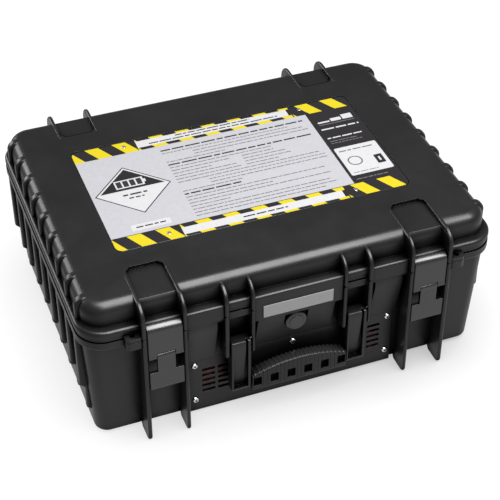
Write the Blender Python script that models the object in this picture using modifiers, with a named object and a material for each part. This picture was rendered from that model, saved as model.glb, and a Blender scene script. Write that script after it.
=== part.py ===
"""Portable power bank in a rugged hard case.

Frame: origin at the middle of the ground under the case, X to the right, Y to the back, Z up, metres.
The case opens on two hinges at the back, and two draw latches and a drop handle are on its front.
"""

import math

import bmesh
import bpy
from mathutils import Matrix, Vector

# Driving dimensions, in metres.
GAP = 0.0003  # air between two pieces that touch on the real object
SHUT_LINE = 0.0004  # half of the gap between lid and base

FLANGE_X, FLANGE_Y, FLANGE_R = 0.2550, 0.1950, 0.0330
LID_X, LID_Y, LID_R = 0.2475, 0.1840, 0.0260
BASE_X, BASE_Y, BASE_R = 0.2495, 0.1845, 0.0170
BASE_LOW_X, BASE_LOW_Y = 0.2425, 0.1780
TOP_Z, LID_TOP_Z = 0.2030, 0.2026
SEAM_Z, BASE_Z = 0.1600, 0.0030
FLANGE_TOP_Z, FLANGE_LOW_Z = 0.1740, 0.1480
LID_ROOF = 0.0065
LID_EDGE_R, BASE_EDGE_R = 0.0140, 0.0060

RIB_PITCH, RIB_COUNT, RIB_W = 0.0390, 9, 0.0105
RIB_ROUND, RIB_ROUND_STEPS = 0.0025, 1
LID_RIB_X, LID_RIB_CURVE_R = 0.2515, 0.0125
BASE_RIB_X, BASE_RIB_LOW_X = 0.2545, 0.2485
BASE_RIB_STEP_Z, BASE_RIB_LOW_Z = 0.0670, 0.0270

LATCH_FINS = ((0.1366, 0.1409), (0.1841, 0.1890))
HANDLE_FINS = ((0.0547, 0.0589), (0.0858, 0.0908))
LATCH_FIN_Y, HANDLE_FIN_Y = 0.2060, 0.2020
FIN_CURVE_R, FIN_ROUND = 0.0200, 0.0010
HANDLE_FIN_TIP_Z = 0.0940
POCKET_FRONT_Y, POCKET_BACK_Y, POCKET_DEPTH = -0.1280, 0.1410, 0.0040

SKIRT_Y, SKIRT_CENTRE_Z, SKIRT_SIDE_Z, SKIRT_GAP = 0.1978, 0.1390, 0.1550, 0.0004
PLATE_X, PLATE_LOW_Z, PLATE_TOP_Z = 0.1300, 0.0036, 0.0845
PLATE_IN_Y, PLATE_OUT_Y = 0.1789, 0.1809
PANEL_CENTRE_X, PANEL_SIDE_X = 0.0480, (0.0975, 0.1325)
SCREW_SPOTS = ((-0.1225, 0.0770), (-0.1225, 0.0215), (0.0, 0.0770), (0.1225, 0.0770), (0.1225, 0.0215))
SCREW_R, SCREW_HOLE_R, SCREW_HEAD_R = 0.0015, 0.0019, 0.0040

VENT_COLUMNS = (0.0860, 0.1055)
VENT_W, VENT_H, VENT_PITCH, VENT_FIRST_Z, VENT_ROWS = 0.0160, 0.0042, 0.0083, 0.0335, 5
FAN_X, FAN_Z, FAN_SIZE, FAN_DEPTH = 0.0958, 0.0500, 0.0600, 0.0150
FAN_Y = -0.1735

VALVE_Z, VALVE_KNOB_R = 0.1170, 0.0132

HINGE_Y, HINGE_R, HINGE_PIN_R = 0.2000, 0.0060, 0.0020
HINGE_KNUCKLE_X = (0.1480, 0.1770)

HANDLE_PIVOT_Y, HANDLE_PIVOT_Z, HANDLE_PIN_R = -0.1945, 0.1120, 0.0025
ARM_X = (0.0605, 0.0845)
ARM_FRONT_Y, ARM_BACK_Y, ARM_LOW_Z, ARM_TOP_Z = -0.2035, -0.1890, 0.0400, 0.1175
GRIP_X, GRIP_LOW_Z, GRIP_END_Z, GRIP_TOP_Z = 0.0600, 0.0368, 0.0600, 0.0720
GRIP_FRONT_Y, GRIP_BACK_Y = -0.2058, -0.1905
GRIP_WINDOW_PITCH, GRIP_WINDOWS = 0.0213, 6

LATCH_X = 0.1625
LATCH_HALF_W = 0.0208
LEVER_PIVOT_Y, LEVER_PIVOT_Z = -0.1900, 0.1220
KNUCKLE_Y, KNUCKLE_Z, KNUCKLE_R = -0.2015, 0.1300, 0.0043
LATCH_FRONT_Y, LATCH_BACK_Y = -0.2052, -0.2014
LATCH_TOP_Z, LATCH_LOW_Z, LEVER_TOP_Z = 0.1740, 0.0800, 0.1070
TONGUE_HALF_W = 0.0105
HOOK_ROLL_R = 0.0085
PIN_R = 0.0014

LABEL_X, LABEL_FRONT_Y, LABEL_BACK_Y, LABEL_R = 0.1840, -0.0990, 0.1050, 0.0090
LABEL_Z, LABEL_THICK, LABEL_RECESS_Z = 0.2016, 0.0006, 0.2012
RIVET_SPOTS = ((-0.1175, 0.0951), (-0.1175, -0.0860), (0.1175, 0.0951), (0.1175, -0.0860))
NAME_X, NAME_Z = (-0.0440, 0.0420), (0.1425, 0.1595)

DECK_Z, DECK_THICK, DECK_X, DECK_Y = 0.1400, 0.0030, 0.2370, 0.1715
CAVITY_X, CAVITY_Y, CAVITY_R, CAVITY_Z = 0.2395, 0.1740, 0.0220, 0.0075

ROUND_STEPS = 4
SHELL_CORNER_STEPS = 5


# ---------------------------------------------------------------- scene helpers

def clear_scene():
    for obj in list(bpy.data.objects):
        bpy.data.objects.remove(obj, do_unlink=True)


def new_collection(name):
    collection = bpy.data.collections.new(name)
    bpy.context.scene.collection.children.link(collection)
    return collection


def make_material(name, colour, roughness, metallic=0.0):
    material = bpy.data.materials.new(name)
    material.use_nodes = True
    shader = material.node_tree.nodes["Principled BSDF"]
    shader.inputs["Base Color"].default_value = (*colour, 1.0)
    shader.inputs["Roughness"].default_value = roughness
    shader.inputs["Metallic"].default_value = metallic
    material.diffuse_color = (*colour, 1.0)
    return material


def add_object(name, bm, collection, material=None, origin=(0, 0, 0)):
    """An object from world-space geometry, with its origin at the given point."""
    bmesh.ops.translate(bm, vec=-Vector(origin), verts=bm.verts)
    bmesh.ops.recalc_face_normals(bm, faces=bm.faces)
    mesh = bpy.data.meshes.new(name)
    bm.to_mesh(mesh)
    bm.free()
    mesh.shade_smooth()
    mesh.set_sharp_from_angle(angle=math.radians(35))
    obj = bpy.data.objects.new(name, mesh)
    obj.location = origin
    collection.objects.link(obj)
    if material:
        mesh.materials.append(material)
    return obj


# ---------------------------------------------------------------- shape helpers

def bevel_edges(bm, chosen, radius, steps):
    edges = [edge for edge in bm.edges if chosen(edge)]
    bmesh.ops.bevel(bm, geom=edges, offset=radius, segments=steps, profile=0.5, affect="EDGES",
                    clamp_overlap=False)


def along(axis):
    """A test for straight edges that run along one axis."""
    def test(edge):
        way = edge.verts[1].co - edge.verts[0].co
        return abs(way[axis]) > 0.999 * way.length
    return test


def on_plane(axis, value):
    def test(edge):
        return all(abs(vert.co[axis] - value) < 1e-6 for vert in edge.verts)
    return test


def box(low, high):
    bm = bmesh.new()
    bmesh.ops.create_cube(bm, size=1.0)
    low, high = Vector(low), Vector(high)
    bmesh.ops.scale(bm, vec=high - low, verts=bm.verts)
    bmesh.ops.translate(bm, vec=(high + low) / 2, verts=bm.verts)
    return bm


def slab(low, high, corner=0.0, top=0.0, bottom=0.0, corner_steps=4, edge_steps=3):
    """An upright box with rounded corners in plan, and rounded top and bottom rims."""
    bm = box(low, high)
    if corner:
        bevel_edges(bm, along(2), corner, corner_steps)
    if top:
        bevel_edges(bm, on_plane(2, high[2]), top, edge_steps)
    if bottom:
        bevel_edges(bm, on_plane(2, low[2]), bottom, edge_steps)
    return bm


def mid_slab(half_x, half_y, low_z, high_z, **rounding):
    return slab((-half_x, -half_y, low_z), (half_x, half_y, high_z), **rounding)


def cylinder(axis, radius, start, end, centre, steps=16):
    """A cylinder along an axis from start to end; centre holds its other two coordinates in order."""
    bm = bmesh.new()
    bmesh.ops.create_cone(bm, cap_ends=True, segments=steps, radius1=radius, radius2=radius,
                          depth=end - start)
    turn = {0: Matrix.Rotation(math.pi / 2, 4, "Y"), 1: Matrix.Rotation(-math.pi / 2, 4, "X"),
            2: Matrix.Identity(4)}[axis]
    place = list(centre)
    place.insert(axis, (start + end) / 2)
    bmesh.ops.transform(bm, matrix=Matrix.Translation(place) @ turn, verts=bm.verts)
    return bm


def arc(centre, radius, first, last, steps):
    """Points on an arc, angles in degrees, both ends included."""
    turns = [math.radians(first + (last - first) * i / steps) for i in range(steps + 1)]
    return [(centre[0] + radius * math.cos(t), centre[1] + radius * math.sin(t)) for t in turns]


PLANES = {
    "xy": Matrix.Identity(4),
    "yz": Matrix(((0, 0, 1, 0), (1, 0, 0, 0), (0, 1, 0, 0), (0, 0, 0, 1))),
    "xz": Matrix(((1, 0, 0, 0), (0, 0, -1, 0), (0, 1, 0, 0), (0, 0, 0, 1))),
}


def sheet(outline, plane, start, end, edge=0.0, edge_steps=2, hole=None):
    """A flat outline given thickness from start to end along the plane's normal."""
    curve = bpy.data.curves.new("outline", "CURVE")
    curve.dimensions = "2D"
    curve.fill_mode = "BOTH"
    curve.extrude = (end - start) / 2
    for points in [outline] + ([hole] if hole else []):
        spline = curve.splines.new("POLY")
        spline.points.add(len(points) - 1)
        for point, (u, v) in zip(spline.points, points):
            point.co = (u, v, 0, 1)
        spline.use_cyclic_u = True
    guide = bpy.data.objects.new("outline", curve)
    bpy.context.scene.collection.objects.link(guide)
    bpy.context.view_layer.update()
    mesh = bpy.data.meshes.new_from_object(guide.evaluated_get(bpy.context.evaluated_depsgraph_get()))
    bpy.data.objects.remove(guide, do_unlink=True)
    bm = bmesh.new()
    bm.from_mesh(mesh)
    bpy.data.meshes.remove(mesh)
    bmesh.ops.remove_doubles(bm, verts=bm.verts, dist=1e-6)
    bmesh.ops.dissolve_limit(bm, angle_limit=math.radians(0.5), verts=bm.verts, edges=bm.edges)
    if edge:
        half = (end - start) / 2
        bevel_edges(bm, lambda e: on_plane(2, half)(e) or on_plane(2, -half)(e), edge, edge_steps)
    lift = Matrix.Translation((0, 0, (start + end) / 2))
    bmesh.ops.transform(bm, matrix=PLANES[plane] @ lift, verts=bm.verts)
    return bm


def turned(name, profile, collection, material, place, facing, steps=20):
    """A turned piece: (radius, height) pairs from the top down, spun about the height axis."""
    mesh = bpy.data.meshes.new(name)
    points = [(radius, 0, height) for radius, height in profile]
    mesh.from_pydata(points, [(i, i + 1) for i in range(len(points) - 1)], [])
    mesh.materials.append(material)
    obj = bpy.data.objects.new(name, mesh)
    obj.location = place
    obj.rotation_euler = facing
    collection.objects.link(obj)
    spin = obj.modifiers.new("spin", "SCREW")
    spin.steps = steps
    spin.render_steps = steps
    spin.use_merge_vertices = True
    spin.merge_threshold = 1e-6
    return obj


FACING_FRONT = (math.radians(90), 0, 0)  # the profile's height points to -Y
FACING_UP = (0, 0, 0)


class Workshop:
    """Builds pieces, and keeps the shapes that a Boolean adds or cuts out of sight."""

    def __init__(self, name):
        self.parts = new_collection(name)
        self.shop = new_collection("cutters")

    def helper(self, name, shapes):
        group = bpy.data.collections.new(name)
        self.shop.children.link(group)
        for number, bm in enumerate(shapes):
            obj = add_object(f"{name}_{number:02d}", bm, group)
            obj.hide_render = True
            obj.display_type = "WIRE"
        return group

    def piece(self, name, body, material, adds=(), cuts=(), origin=(0, 0, 0)):
        obj = add_object(name, body, self.parts, material, origin)
        for kind, shapes in (("UNION", adds), ("DIFFERENCE", cuts)):
            if shapes:
                tool = obj.modifiers.new(kind.lower(), "BOOLEAN")
                tool.operation = kind
                tool.operand_type = "COLLECTION"
                tool.collection = self.helper(f"{name}_{kind.lower()}", shapes)
                tool.solver = "EXACT"
        return obj


def span(side, low, high):
    """An interval of |x| on the left (side -1) or right (side 1)."""
    return (low, high) if side > 0 else (-high, -low)


def mirrored_box(side, xs, ys, zs, **rounding):
    x = span(side, *xs)
    return slab((x[0], ys[0], zs[0]), (x[1], ys[1], zs[1]), **rounding)


SIDES = ((-1, "left"), (1, "right"))


# ---------------------------------------------------------------- lid

def rib_places():
    return [RIB_PITCH * (i - (RIB_COUNT - 1) / 2) for i in range(RIB_COUNT)]


def rib(side, y, profile):
    """An upright rib on a side wall, from its outline in (|x|, z)."""
    outline = [(side * x, z) for x, z in profile]
    return sheet(outline, "xz", -y - RIB_W / 2, -y + RIB_W / 2, edge=RIB_ROUND, edge_steps=RIB_ROUND_STEPS)


def lid_rib_profile():
    over = arc((LID_RIB_X - LID_RIB_CURVE_R, TOP_Z - LID_RIB_CURVE_R), LID_RIB_CURVE_R, 0, 90, 3)
    return [(0.2270, 0.1690), (LID_RIB_X, 0.1690)] + over + [(0.2270, TOP_Z)]


def base_rib_profile():
    """Two levels: a block as proud as the rim, and a lower, shallower rib, each with a sloped end."""
    root, step = 0.2405, BASE_RIB_X - BASE_RIB_LOW_X
    return [(root, 0.1500), (BASE_RIB_X, 0.1500), (BASE_RIB_X, BASE_RIB_STEP_Z + step),
            (BASE_RIB_LOW_X, BASE_RIB_STEP_Z), (BASE_RIB_LOW_X, BASE_RIB_LOW_Z + 0.0070),
            (root, BASE_RIB_LOW_Z)]


def lid_latch_fin(x, front):
    """Fin outline in (y, z), flush with the lid's top, rounded over to an upright face."""
    way = -1 if front else 1
    outer, centre = LATCH_FIN_Y, (LATCH_FIN_Y - FIN_CURVE_R, TOP_Z - FIN_CURVE_R)
    curve = [(way * y, z) for y, z in arc(centre, FIN_CURVE_R, 90, 0, ROUND_STEPS)]
    if front:
        foot = [(-outer, SEAM_Z + SHUT_LINE), (-0.1750, SEAM_Z + SHUT_LINE)]
    else:
        eye = arc((HINGE_Y, SEAM_Z), HINGE_R, 0, -140, 6)
        foot = eye + [(0.1915, SEAM_Z + SHUT_LINE), (0.1750, SEAM_Z + SHUT_LINE)]
    outline = curve + foot + [(way * 0.1750, 0.1930), (way * 0.1400, 0.1990), (way * 0.1400, TOP_Z)]
    return sheet(outline, "yz", x[0], x[1], edge=FIN_ROUND, edge_steps=1)


def lid_handle_fin(x):
    curve = arc((-HANDLE_FIN_Y + FIN_CURVE_R, 0.1760), FIN_CURVE_R, 90, 180, ROUND_STEPS)
    outline = curve + [(-HANDLE_FIN_Y, SEAM_Z + SHUT_LINE), (-0.1780, SEAM_Z + SHUT_LINE), (-0.1780, 0.1960)]
    return sheet(outline, "yz", x[0], x[1], edge=FIN_ROUND, edge_steps=1)


def skirt(xs, low_z):
    """An apron that hangs from the lid's flange in front of the base's rim."""
    back, hung = -0.1880, -(FLANGE_Y + 0.0004)
    top_z = FLANGE_TOP_Z + 0.0004
    top = arc((-SKIRT_Y + 0.0030, top_z - 0.0030), 0.0030, 90, 180, 3)
    outline = top + [(-SKIRT_Y, low_z), (hung, low_z), (hung, SEAM_Z + SHUT_LINE), (back, SEAM_Z + SHUT_LINE),
                     (back, top_z)]
    return sheet(outline, "yz", xs[0], xs[1])


def padlock_tab(side, low_z, high_z):
    return mirrored_box(side, (0.1870, 0.2075), (-0.2050, -0.1880), (low_z, high_z), corner=0.0060,
                        corner_steps=3)


def padlock_hole(side):
    return cylinder(2, 0.0032, 0.1450, 0.1700, (side * 0.1985, -0.1975), 12)


def lid_shell(shop, material):
    body = mid_slab(LID_X, LID_Y, SEAM_Z + SHUT_LINE, LID_TOP_Z, corner=LID_R, top=LID_EDGE_R,
                    corner_steps=SHELL_CORNER_STEPS, edge_steps=4)
    lip_in = 0.0012
    adds = [
        mid_slab(FLANGE_X, FLANGE_Y, 0.1655, FLANGE_TOP_Z, corner=FLANGE_R, top=0.0040,
                 corner_steps=SHELL_CORNER_STEPS, edge_steps=2),
        mid_slab(FLANGE_X - lip_in, FLANGE_Y - lip_in, SEAM_Z + SHUT_LINE + 0.0003, 0.1690,
                 corner=FLANGE_R - lip_in, corner_steps=SHELL_CORNER_STEPS),
        skirt((SKIRT_GAP - HANDLE_FINS[0][0], HANDLE_FINS[0][0] - SKIRT_GAP), SKIRT_CENTRE_Z),
    ]
    cuts = [
        mid_slab(0.2410, 0.1775, 0.1500, LID_TOP_Z - LID_ROOF, corner=0.0200, top=0.0080,
                 corner_steps=4, edge_steps=2),
        slab((-LABEL_X - 0.0006, LABEL_FRONT_Y - 0.0006, LABEL_RECESS_Z),
             (LABEL_X + 0.0006, LABEL_BACK_Y + 0.0006, 0.2100), corner=LABEL_R, corner_steps=4),
    ]
    cuts += [cylinder(2, 0.0018, 0.1994, 0.2100, spot, 10) for spot in RIVET_SPOTS]
    for side, _ in SIDES:
        adds += [rib(side, y, lid_rib_profile()) for y in rib_places()]
        adds += [lid_latch_fin(span(side, *x), front) for x in LATCH_FINS for front in (True, False)]
        adds += [lid_handle_fin(span(side, *x)) for x in HANDLE_FINS]
        apron_x = (HANDLE_FINS[1][1] + SKIRT_GAP, LATCH_FINS[0][0] - SKIRT_GAP)
        adds.append(skirt(span(side, *apron_x), SKIRT_SIDE_Z))
        adds.append(padlock_tab(side, SEAM_Z + SHUT_LINE, 0.1645))
        for low, high in ((LATCH_FINS[0][0] + 0.0020, 0.1472), (0.1778, LATCH_FINS[1][1] - 0.0020)):
            adds.append(lid_knuckle(span(side, low, high)))
        pocket_x = (LATCH_FINS[0][1] - 0.0003, LATCH_FINS[1][0] + 0.0003)
        for ys in ((-0.2300, POCKET_FRONT_Y), (POCKET_BACK_Y, 0.2300)):
            cuts.append(mirrored_box(side, pocket_x, ys, (LID_TOP_Z - POCKET_DEPTH, 0.2100)))
        cuts.append(mirrored_box(side, (0.1474, 0.1776), (0.1926, 0.2100), (0.1500, 0.1800)))
        cuts.append(cylinder(0, HINGE_PIN_R + GAP, *span(side, 0.1300, 0.1950), (HINGE_Y, SEAM_Z), 12))
        cuts.append(padlock_hole(side))
    return shop.piece("lid_shell", body, material, adds, cuts)


def lid_knuckle(xs):
    """The lid's part of the hinge: an eye about the pin with a web up to the flange."""
    eye = arc((HINGE_Y, SEAM_Z), HINGE_R - 0.0008, 90, -150, 7)
    outline = eye + [(0.1930, SEAM_Z + 0.0010), (0.1890, 0.1680), (0.1950, 0.1700)]
    return sheet(outline, "yz", xs[0], xs[1])


def lid_label(shop, material):
    body = slab((-LABEL_X, LABEL_FRONT_Y, LABEL_Z), (LABEL_X, LABEL_BACK_Y, LABEL_Z + LABEL_THICK),
                corner=LABEL_R, corner_steps=4)
    holes = [cylinder(2, 0.0018, 0.1990, 0.2100, spot, 10) for spot in RIVET_SPOTS]
    shop.piece("lid_label", body, material, cuts=holes)


def label_rivets(shop, material):
    head_z = LABEL_Z + LABEL_THICK + GAP
    profile = [(0, 0.0005), (0.0030, 0), (0.0012, 0), (0.0012, -0.0026), (0, -0.0026)]
    for number, (x, y) in enumerate(RIVET_SPOTS, 1):
        turned(f"label_rivet_{number}", profile, shop.parts, material, (x, y, head_z), FACING_UP, 8)


def name_plate(shop, material):
    front = -SKIRT_Y - GAP - 0.0008
    body = slab((NAME_X[0], front, NAME_Z[0]), (NAME_X[1], -SKIRT_Y - GAP, NAME_Z[1]))
    shop.piece("name_plate", body, material)


# ---------------------------------------------------------------- base

def base_latch_fin(x):
    """Front fin: an upright face down to a rounded toe, and a flat foot on the ground."""
    toe = arc((-LATCH_FIN_Y + 0.0060, 0.0060), 0.0060, 180, 270, 4)
    top = SEAM_Z - SHUT_LINE
    outline = [(-0.1750, top), (-LATCH_FIN_Y, top)] + toe + [(-0.1800, 0.0), (-0.1750, 0.0060)]
    return sheet(outline, "yz", x[0], x[1], edge=FIN_ROUND, edge_steps=1)


def rear_fin(x):
    """Rear fin: a foot as deep as the front one, sloped off under the hinge."""
    toe = arc((LATCH_FIN_Y - 0.0060, 0.0060), 0.0060, 0, -90, 4)
    slope = [(0.1750, 0.1490), (0.1900, 0.1490), (LATCH_FIN_Y, 0.1360)]
    outline = slope + toe + [(0.1800, 0), (0.1750, 0.0060)]
    return sheet(outline, "yz", x[0], x[1], edge=FIN_ROUND, edge_steps=1)


def base_handle_fin(x):
    tip = arc((-HANDLE_FIN_Y + 0.0060, HANDLE_FIN_TIP_Z + 0.0060), 0.0060, 180, 270, 4)
    top = SEAM_Z - SHUT_LINE
    outline = [(-0.1760, top), (-HANDLE_FIN_Y, top)] + tip + [(-0.1820, HANDLE_FIN_TIP_Z), (-0.1760, 0.0920)]
    return sheet(outline, "yz", x[0], x[1], edge=FIN_ROUND, edge_steps=1)


def front_panel(x):
    """A wedge that carries the front face out from the vent plate's top to the rim."""
    low, high = PLATE_TOP_Z + GAP, 0.1500
    outline = [(-0.1760, low), (-PLATE_OUT_Y, low), (-0.1935, 0.1380), (-0.1935, high), (-0.1760, high)]
    return sheet(outline, "yz", x[0], x[1])


def base_knuckle(xs):
    eye = arc((HINGE_Y, SEAM_Z), HINGE_R, 130, -90, 9)
    outline = eye + [(0.1900, 0.1485), (0.1880, 0.1560), (0.1922, 0.1590)]
    return sheet(outline, "yz", xs[0], xs[1])


def rounded(half_x, half_y, radius, steps):
    """A rounded rectangle about the origin, as an outline in (x, y)."""
    x, y = half_x - radius, half_y - radius
    corners = ((x, y), (-x, y), (-x, -y), (x, -y))
    return [p for turn, c in enumerate(corners) for p in arc(c, radius, 90 * turn, 90 * turn + 90, steps)]


def frame_ring(outer, inner, low_z, high_z):
    """A flat ring between two rounded rectangles, each (half x, half y, corner radius)."""
    return sheet(rounded(*outer, 4), "xy", low_z, high_z, hole=rounded(*inner, 4))


def base_shell(shop, material):
    top = SEAM_Z - SHUT_LINE
    body = mid_slab(BASE_X, BASE_Y, BASE_Z, top, corner=BASE_R, bottom=BASE_EDGE_R,
                    corner_steps=SHELL_CORNER_STEPS, edge_steps=3)
    floor = [vert for vert in body.verts if vert.co.z < top / 2]
    bmesh.ops.scale(body, vec=(BASE_LOW_X / BASE_X, BASE_LOW_Y / BASE_Y, 1), verts=floor)
    adds = [
        mid_slab(FLANGE_X, FLANGE_Y, FLANGE_LOW_Z, top - 0.0003, corner=FLANGE_R, bottom=0.0030,
                 corner_steps=SHELL_CORNER_STEPS, edge_steps=2),
        front_panel((-PANEL_CENTRE_X, PANEL_CENTRE_X)),
    ]
    cuts = [
        mid_slab(CAVITY_X, CAVITY_Y, CAVITY_Z, 0.1700, corner=CAVITY_R, bottom=0.0040, corner_steps=4,
                 edge_steps=2),
        frame_ring((0.2498, 0.1898, 0.0278), (0.2448, 0.1848, 0.0228), 0.1556, 0.1700),
        cylinder(1, 0.0090, -0.2050, -0.1650, (0.0, VALVE_Z), 16),
        slab((-0.0145, -0.2000, VALVE_Z - 0.0145), (0.0145, -0.1865, VALVE_Z + 0.0145)),
        slab((-PLATE_X - GAP, -0.2200, -0.0100), (PLATE_X + GAP, GAP - PLATE_IN_Y, PLATE_TOP_Z + GAP)),
    ]
    cuts += [cylinder(1, SCREW_HOLE_R, -0.1850, -0.1700, spot, 10) for spot in SCREW_SPOTS]
    for side, _ in SIDES:
        adds += [rib(side, y, base_rib_profile()) for y in rib_places()]
        for x in LATCH_FINS:
            adds += [base_latch_fin(span(side, *x)), rear_fin(span(side, *x))]
        adds += [base_handle_fin(span(side, *x)) for x in HANDLE_FINS]
        adds.append(front_panel(span(side, *PANEL_SIDE_X)))
        adds.append(padlock_tab(side, 0.1490, top))
        adds.append(base_knuckle(span(side, *HINGE_KNUCKLE_X)))
        for low, high in ((0.1360, HINGE_KNUCKLE_X[0] - GAP), (HINGE_KNUCKLE_X[1] + GAP, 0.1896)):
            cuts.append(mirrored_box(side, (low, high), (0.1922, 0.2100), (0.1525, 0.1700)))
        cuts.append(cylinder(0, HINGE_PIN_R + GAP, *span(side, 0.1300, 0.1950), (HINGE_Y, SEAM_Z), 12))
        cuts.append(cylinder(0, PIN_R + GAP, *span(side, 0.1350, 0.1910), (LEVER_PIVOT_Y, LEVER_PIVOT_Z), 12))
        pin_line = (HANDLE_PIVOT_Y, HANDLE_PIVOT_Z)
        cuts.append(cylinder(0, HANDLE_PIN_R + GAP, *span(side, 0.0530, 0.0920), pin_line, 12))
        cuts.append(padlock_hole(side))
        cuts.append(mirrored_box(side, (0.0745, 0.1160), (-0.1850, -0.1700), (0.0265, 0.0735)))
    return shop.piece("base_shell", body, material, adds, cuts)


def base_seal(shop, material):
    ring = frame_ring((0.2494, 0.1894, 0.0274), (0.2452, 0.1852, 0.0232), 0.1560, 0.1600)
    shop.piece("base_seal", ring, material)


def vent_plate(shop, material):
    body = slab((-PLATE_X, -PLATE_OUT_Y, PLATE_LOW_Z), (PLATE_X, -PLATE_IN_Y, PLATE_TOP_Z))
    cuts = [cylinder(1, SCREW_HOLE_R, -0.1850, -0.1700, spot, 10) for spot in SCREW_SPOTS]
    for side, _ in SIDES:
        for column in VENT_COLUMNS:
            for row in range(VENT_ROWS):
                z = VENT_FIRST_Z + row * VENT_PITCH
                xs = (column - VENT_W / 2, column + VENT_W / 2)
                cuts.append(mirrored_box(side, xs, (-0.1850, -0.1750), (z - VENT_H / 2, z + VENT_H / 2)))
    shop.piece("vent_plate", body, material, cuts=cuts)


def plate_screws(shop, material):
    """Pan-head screws that hold the vent plate on the base."""
    r = SCREW_HEAD_R
    profile = [(0, 0.0022), (r * 0.8, 0.0015), (r, 0), (SCREW_R, 0), (SCREW_R, -0.0055), (0, -0.0055)]
    for number, (x, z) in enumerate(SCREW_SPOTS, 1):
        turned(f"plate_screw_{number}", profile, shop.parts, material, (x, -PLATE_OUT_Y - GAP, z),
               FACING_FRONT, 10)


def relief_valve(shop, black, metal):
    """A vent stem through the front wall, and the knob that is turned to let pressure out."""
    stem = cylinder(1, 0.0086, -0.1862, -0.1715, (0.0, VALVE_Z), 16)
    bore = cylinder(1, 0.0040, -0.1800, -0.1650, (0.0, VALVE_Z), 12)
    shop.piece("valve_stem", stem, metal, cuts=[bore])
    profile = [(0, 0.0052), (0.0115, 0.0052), (VALVE_KNOB_R, 0.0040), (VALVE_KNOB_R, 0), (0, 0)]
    turned("valve_knob", profile, shop.parts, black, (0, -0.1866, VALVE_Z), FACING_FRONT, 20)


def hinge_pins(shop, material):
    for side, word in SIDES:
        xs = span(side, LATCH_FINS[0][0] + 0.0006, LATCH_FINS[1][1] - 0.0006)
        shop.piece(f"hinge_pin_{word}", cylinder(0, HINGE_PIN_R, *xs, (HINGE_Y, SEAM_Z), 12), material)


# ---------------------------------------------------------------- handle

def arm_outline():
    """Side outline (y, z) of a handle arm, with its pivot near the top."""
    top = arc((ARM_FRONT_Y + 0.0025, ARM_TOP_Z - 0.0025), 0.0025, 90, 180, 2)
    foot = arc((ARM_FRONT_Y + 0.0050, ARM_LOW_Z + 0.0050), 0.0050, 180, 270, 3)
    return [(ARM_BACK_Y, ARM_TOP_Z)] + top + foot + [(ARM_BACK_Y, ARM_LOW_Z)]


def arm_channel():
    """Section (y, z) of the hollow in an arm's front, which gets deeper towards the grip."""
    return [(-0.2100, 0.1080), (ARM_FRONT_Y, 0.1080), (ARM_FRONT_Y + 0.0070, 0.0450), (-0.2100, 0.0450)]


def handle_frame(shop, material):
    """Two channel arms joined by a bar that runs inside the grip."""
    bar = slab((-0.0700, -0.2010, 0.0435), (0.0700, -0.1945, 0.0555))
    adds, cuts = [], []
    for side, _ in SIDES:
        adds.append(sheet(arm_outline(), "yz", *span(side, *ARM_X), edge=0.0008, edge_steps=1))
        left, right = span(side, *ARM_X)
        cuts.append(sheet(arm_channel(), "yz", left + 0.0024, right - 0.0038))
        cuts.append(box((right - 0.0064, -0.2100, 0.0450), (right - 0.0038, ARM_FRONT_Y + 0.0052, 0.1300)))
        pin_line = (HANDLE_PIVOT_Y, HANDLE_PIVOT_Z)
        cuts.append(cylinder(0, HANDLE_PIN_R + GAP, *span(side, 0.0500, 0.0950), pin_line, 12))
    pivot = (0, HANDLE_PIVOT_Y, HANDLE_PIVOT_Z)
    return shop.piece("handle_frame", bar, material, adds, cuts, origin=pivot)


def handle_grip(shop, material):
    """A rubber sleeve with an arched top and a row of square windows along its front."""
    rise = GRIP_TOP_Z - GRIP_END_Z
    radius = (GRIP_X ** 2 + rise ** 2) / (2 * rise)
    half = math.degrees(math.asin(GRIP_X / radius))
    top = arc((0, GRIP_TOP_Z - radius), radius, 90 - half, 90 + half, 10)
    outline = top + [(-GRIP_X, GRIP_LOW_Z), (GRIP_X, GRIP_LOW_Z)]
    body = sheet(outline, "xz", -GRIP_BACK_Y, -GRIP_FRONT_Y, edge=0.0030, edge_steps=2)
    cuts = [slab((-0.0800, -0.2013, 0.0432), (0.0800, -0.1942, 0.0558))]
    for i in range(GRIP_WINDOWS):
        x = GRIP_WINDOW_PITCH * (i - (GRIP_WINDOWS - 1) / 2)
        cuts.append(slab((x - 0.0050, -0.2100, 0.0442), (x + 0.0050, -0.2000, 0.0570)))
    pivot = (0, HANDLE_PIVOT_Y, HANDLE_PIVOT_Z)
    return shop.piece("handle_grip", body, material, cuts=cuts, origin=pivot)


def handle_pins(shop, material):
    for side, word in SIDES:
        xs = span(side, HANDLE_FINS[0][0] + 0.0004, HANDLE_FINS[1][1] - 0.0004)
        pin = cylinder(0, HANDLE_PIN_R, *xs, (HANDLE_PIVOT_Y, HANDLE_PIVOT_Z), 12)
        shop.piece(f"handle_pin_{word}", pin, material)


# ---------------------------------------------------------------- latches

def centred(side, half_low, half_high):
    """An interval about the latch's middle line, both halves on the outer side."""
    return span(side, LATCH_X + half_low, LATCH_X + half_high)


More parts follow.
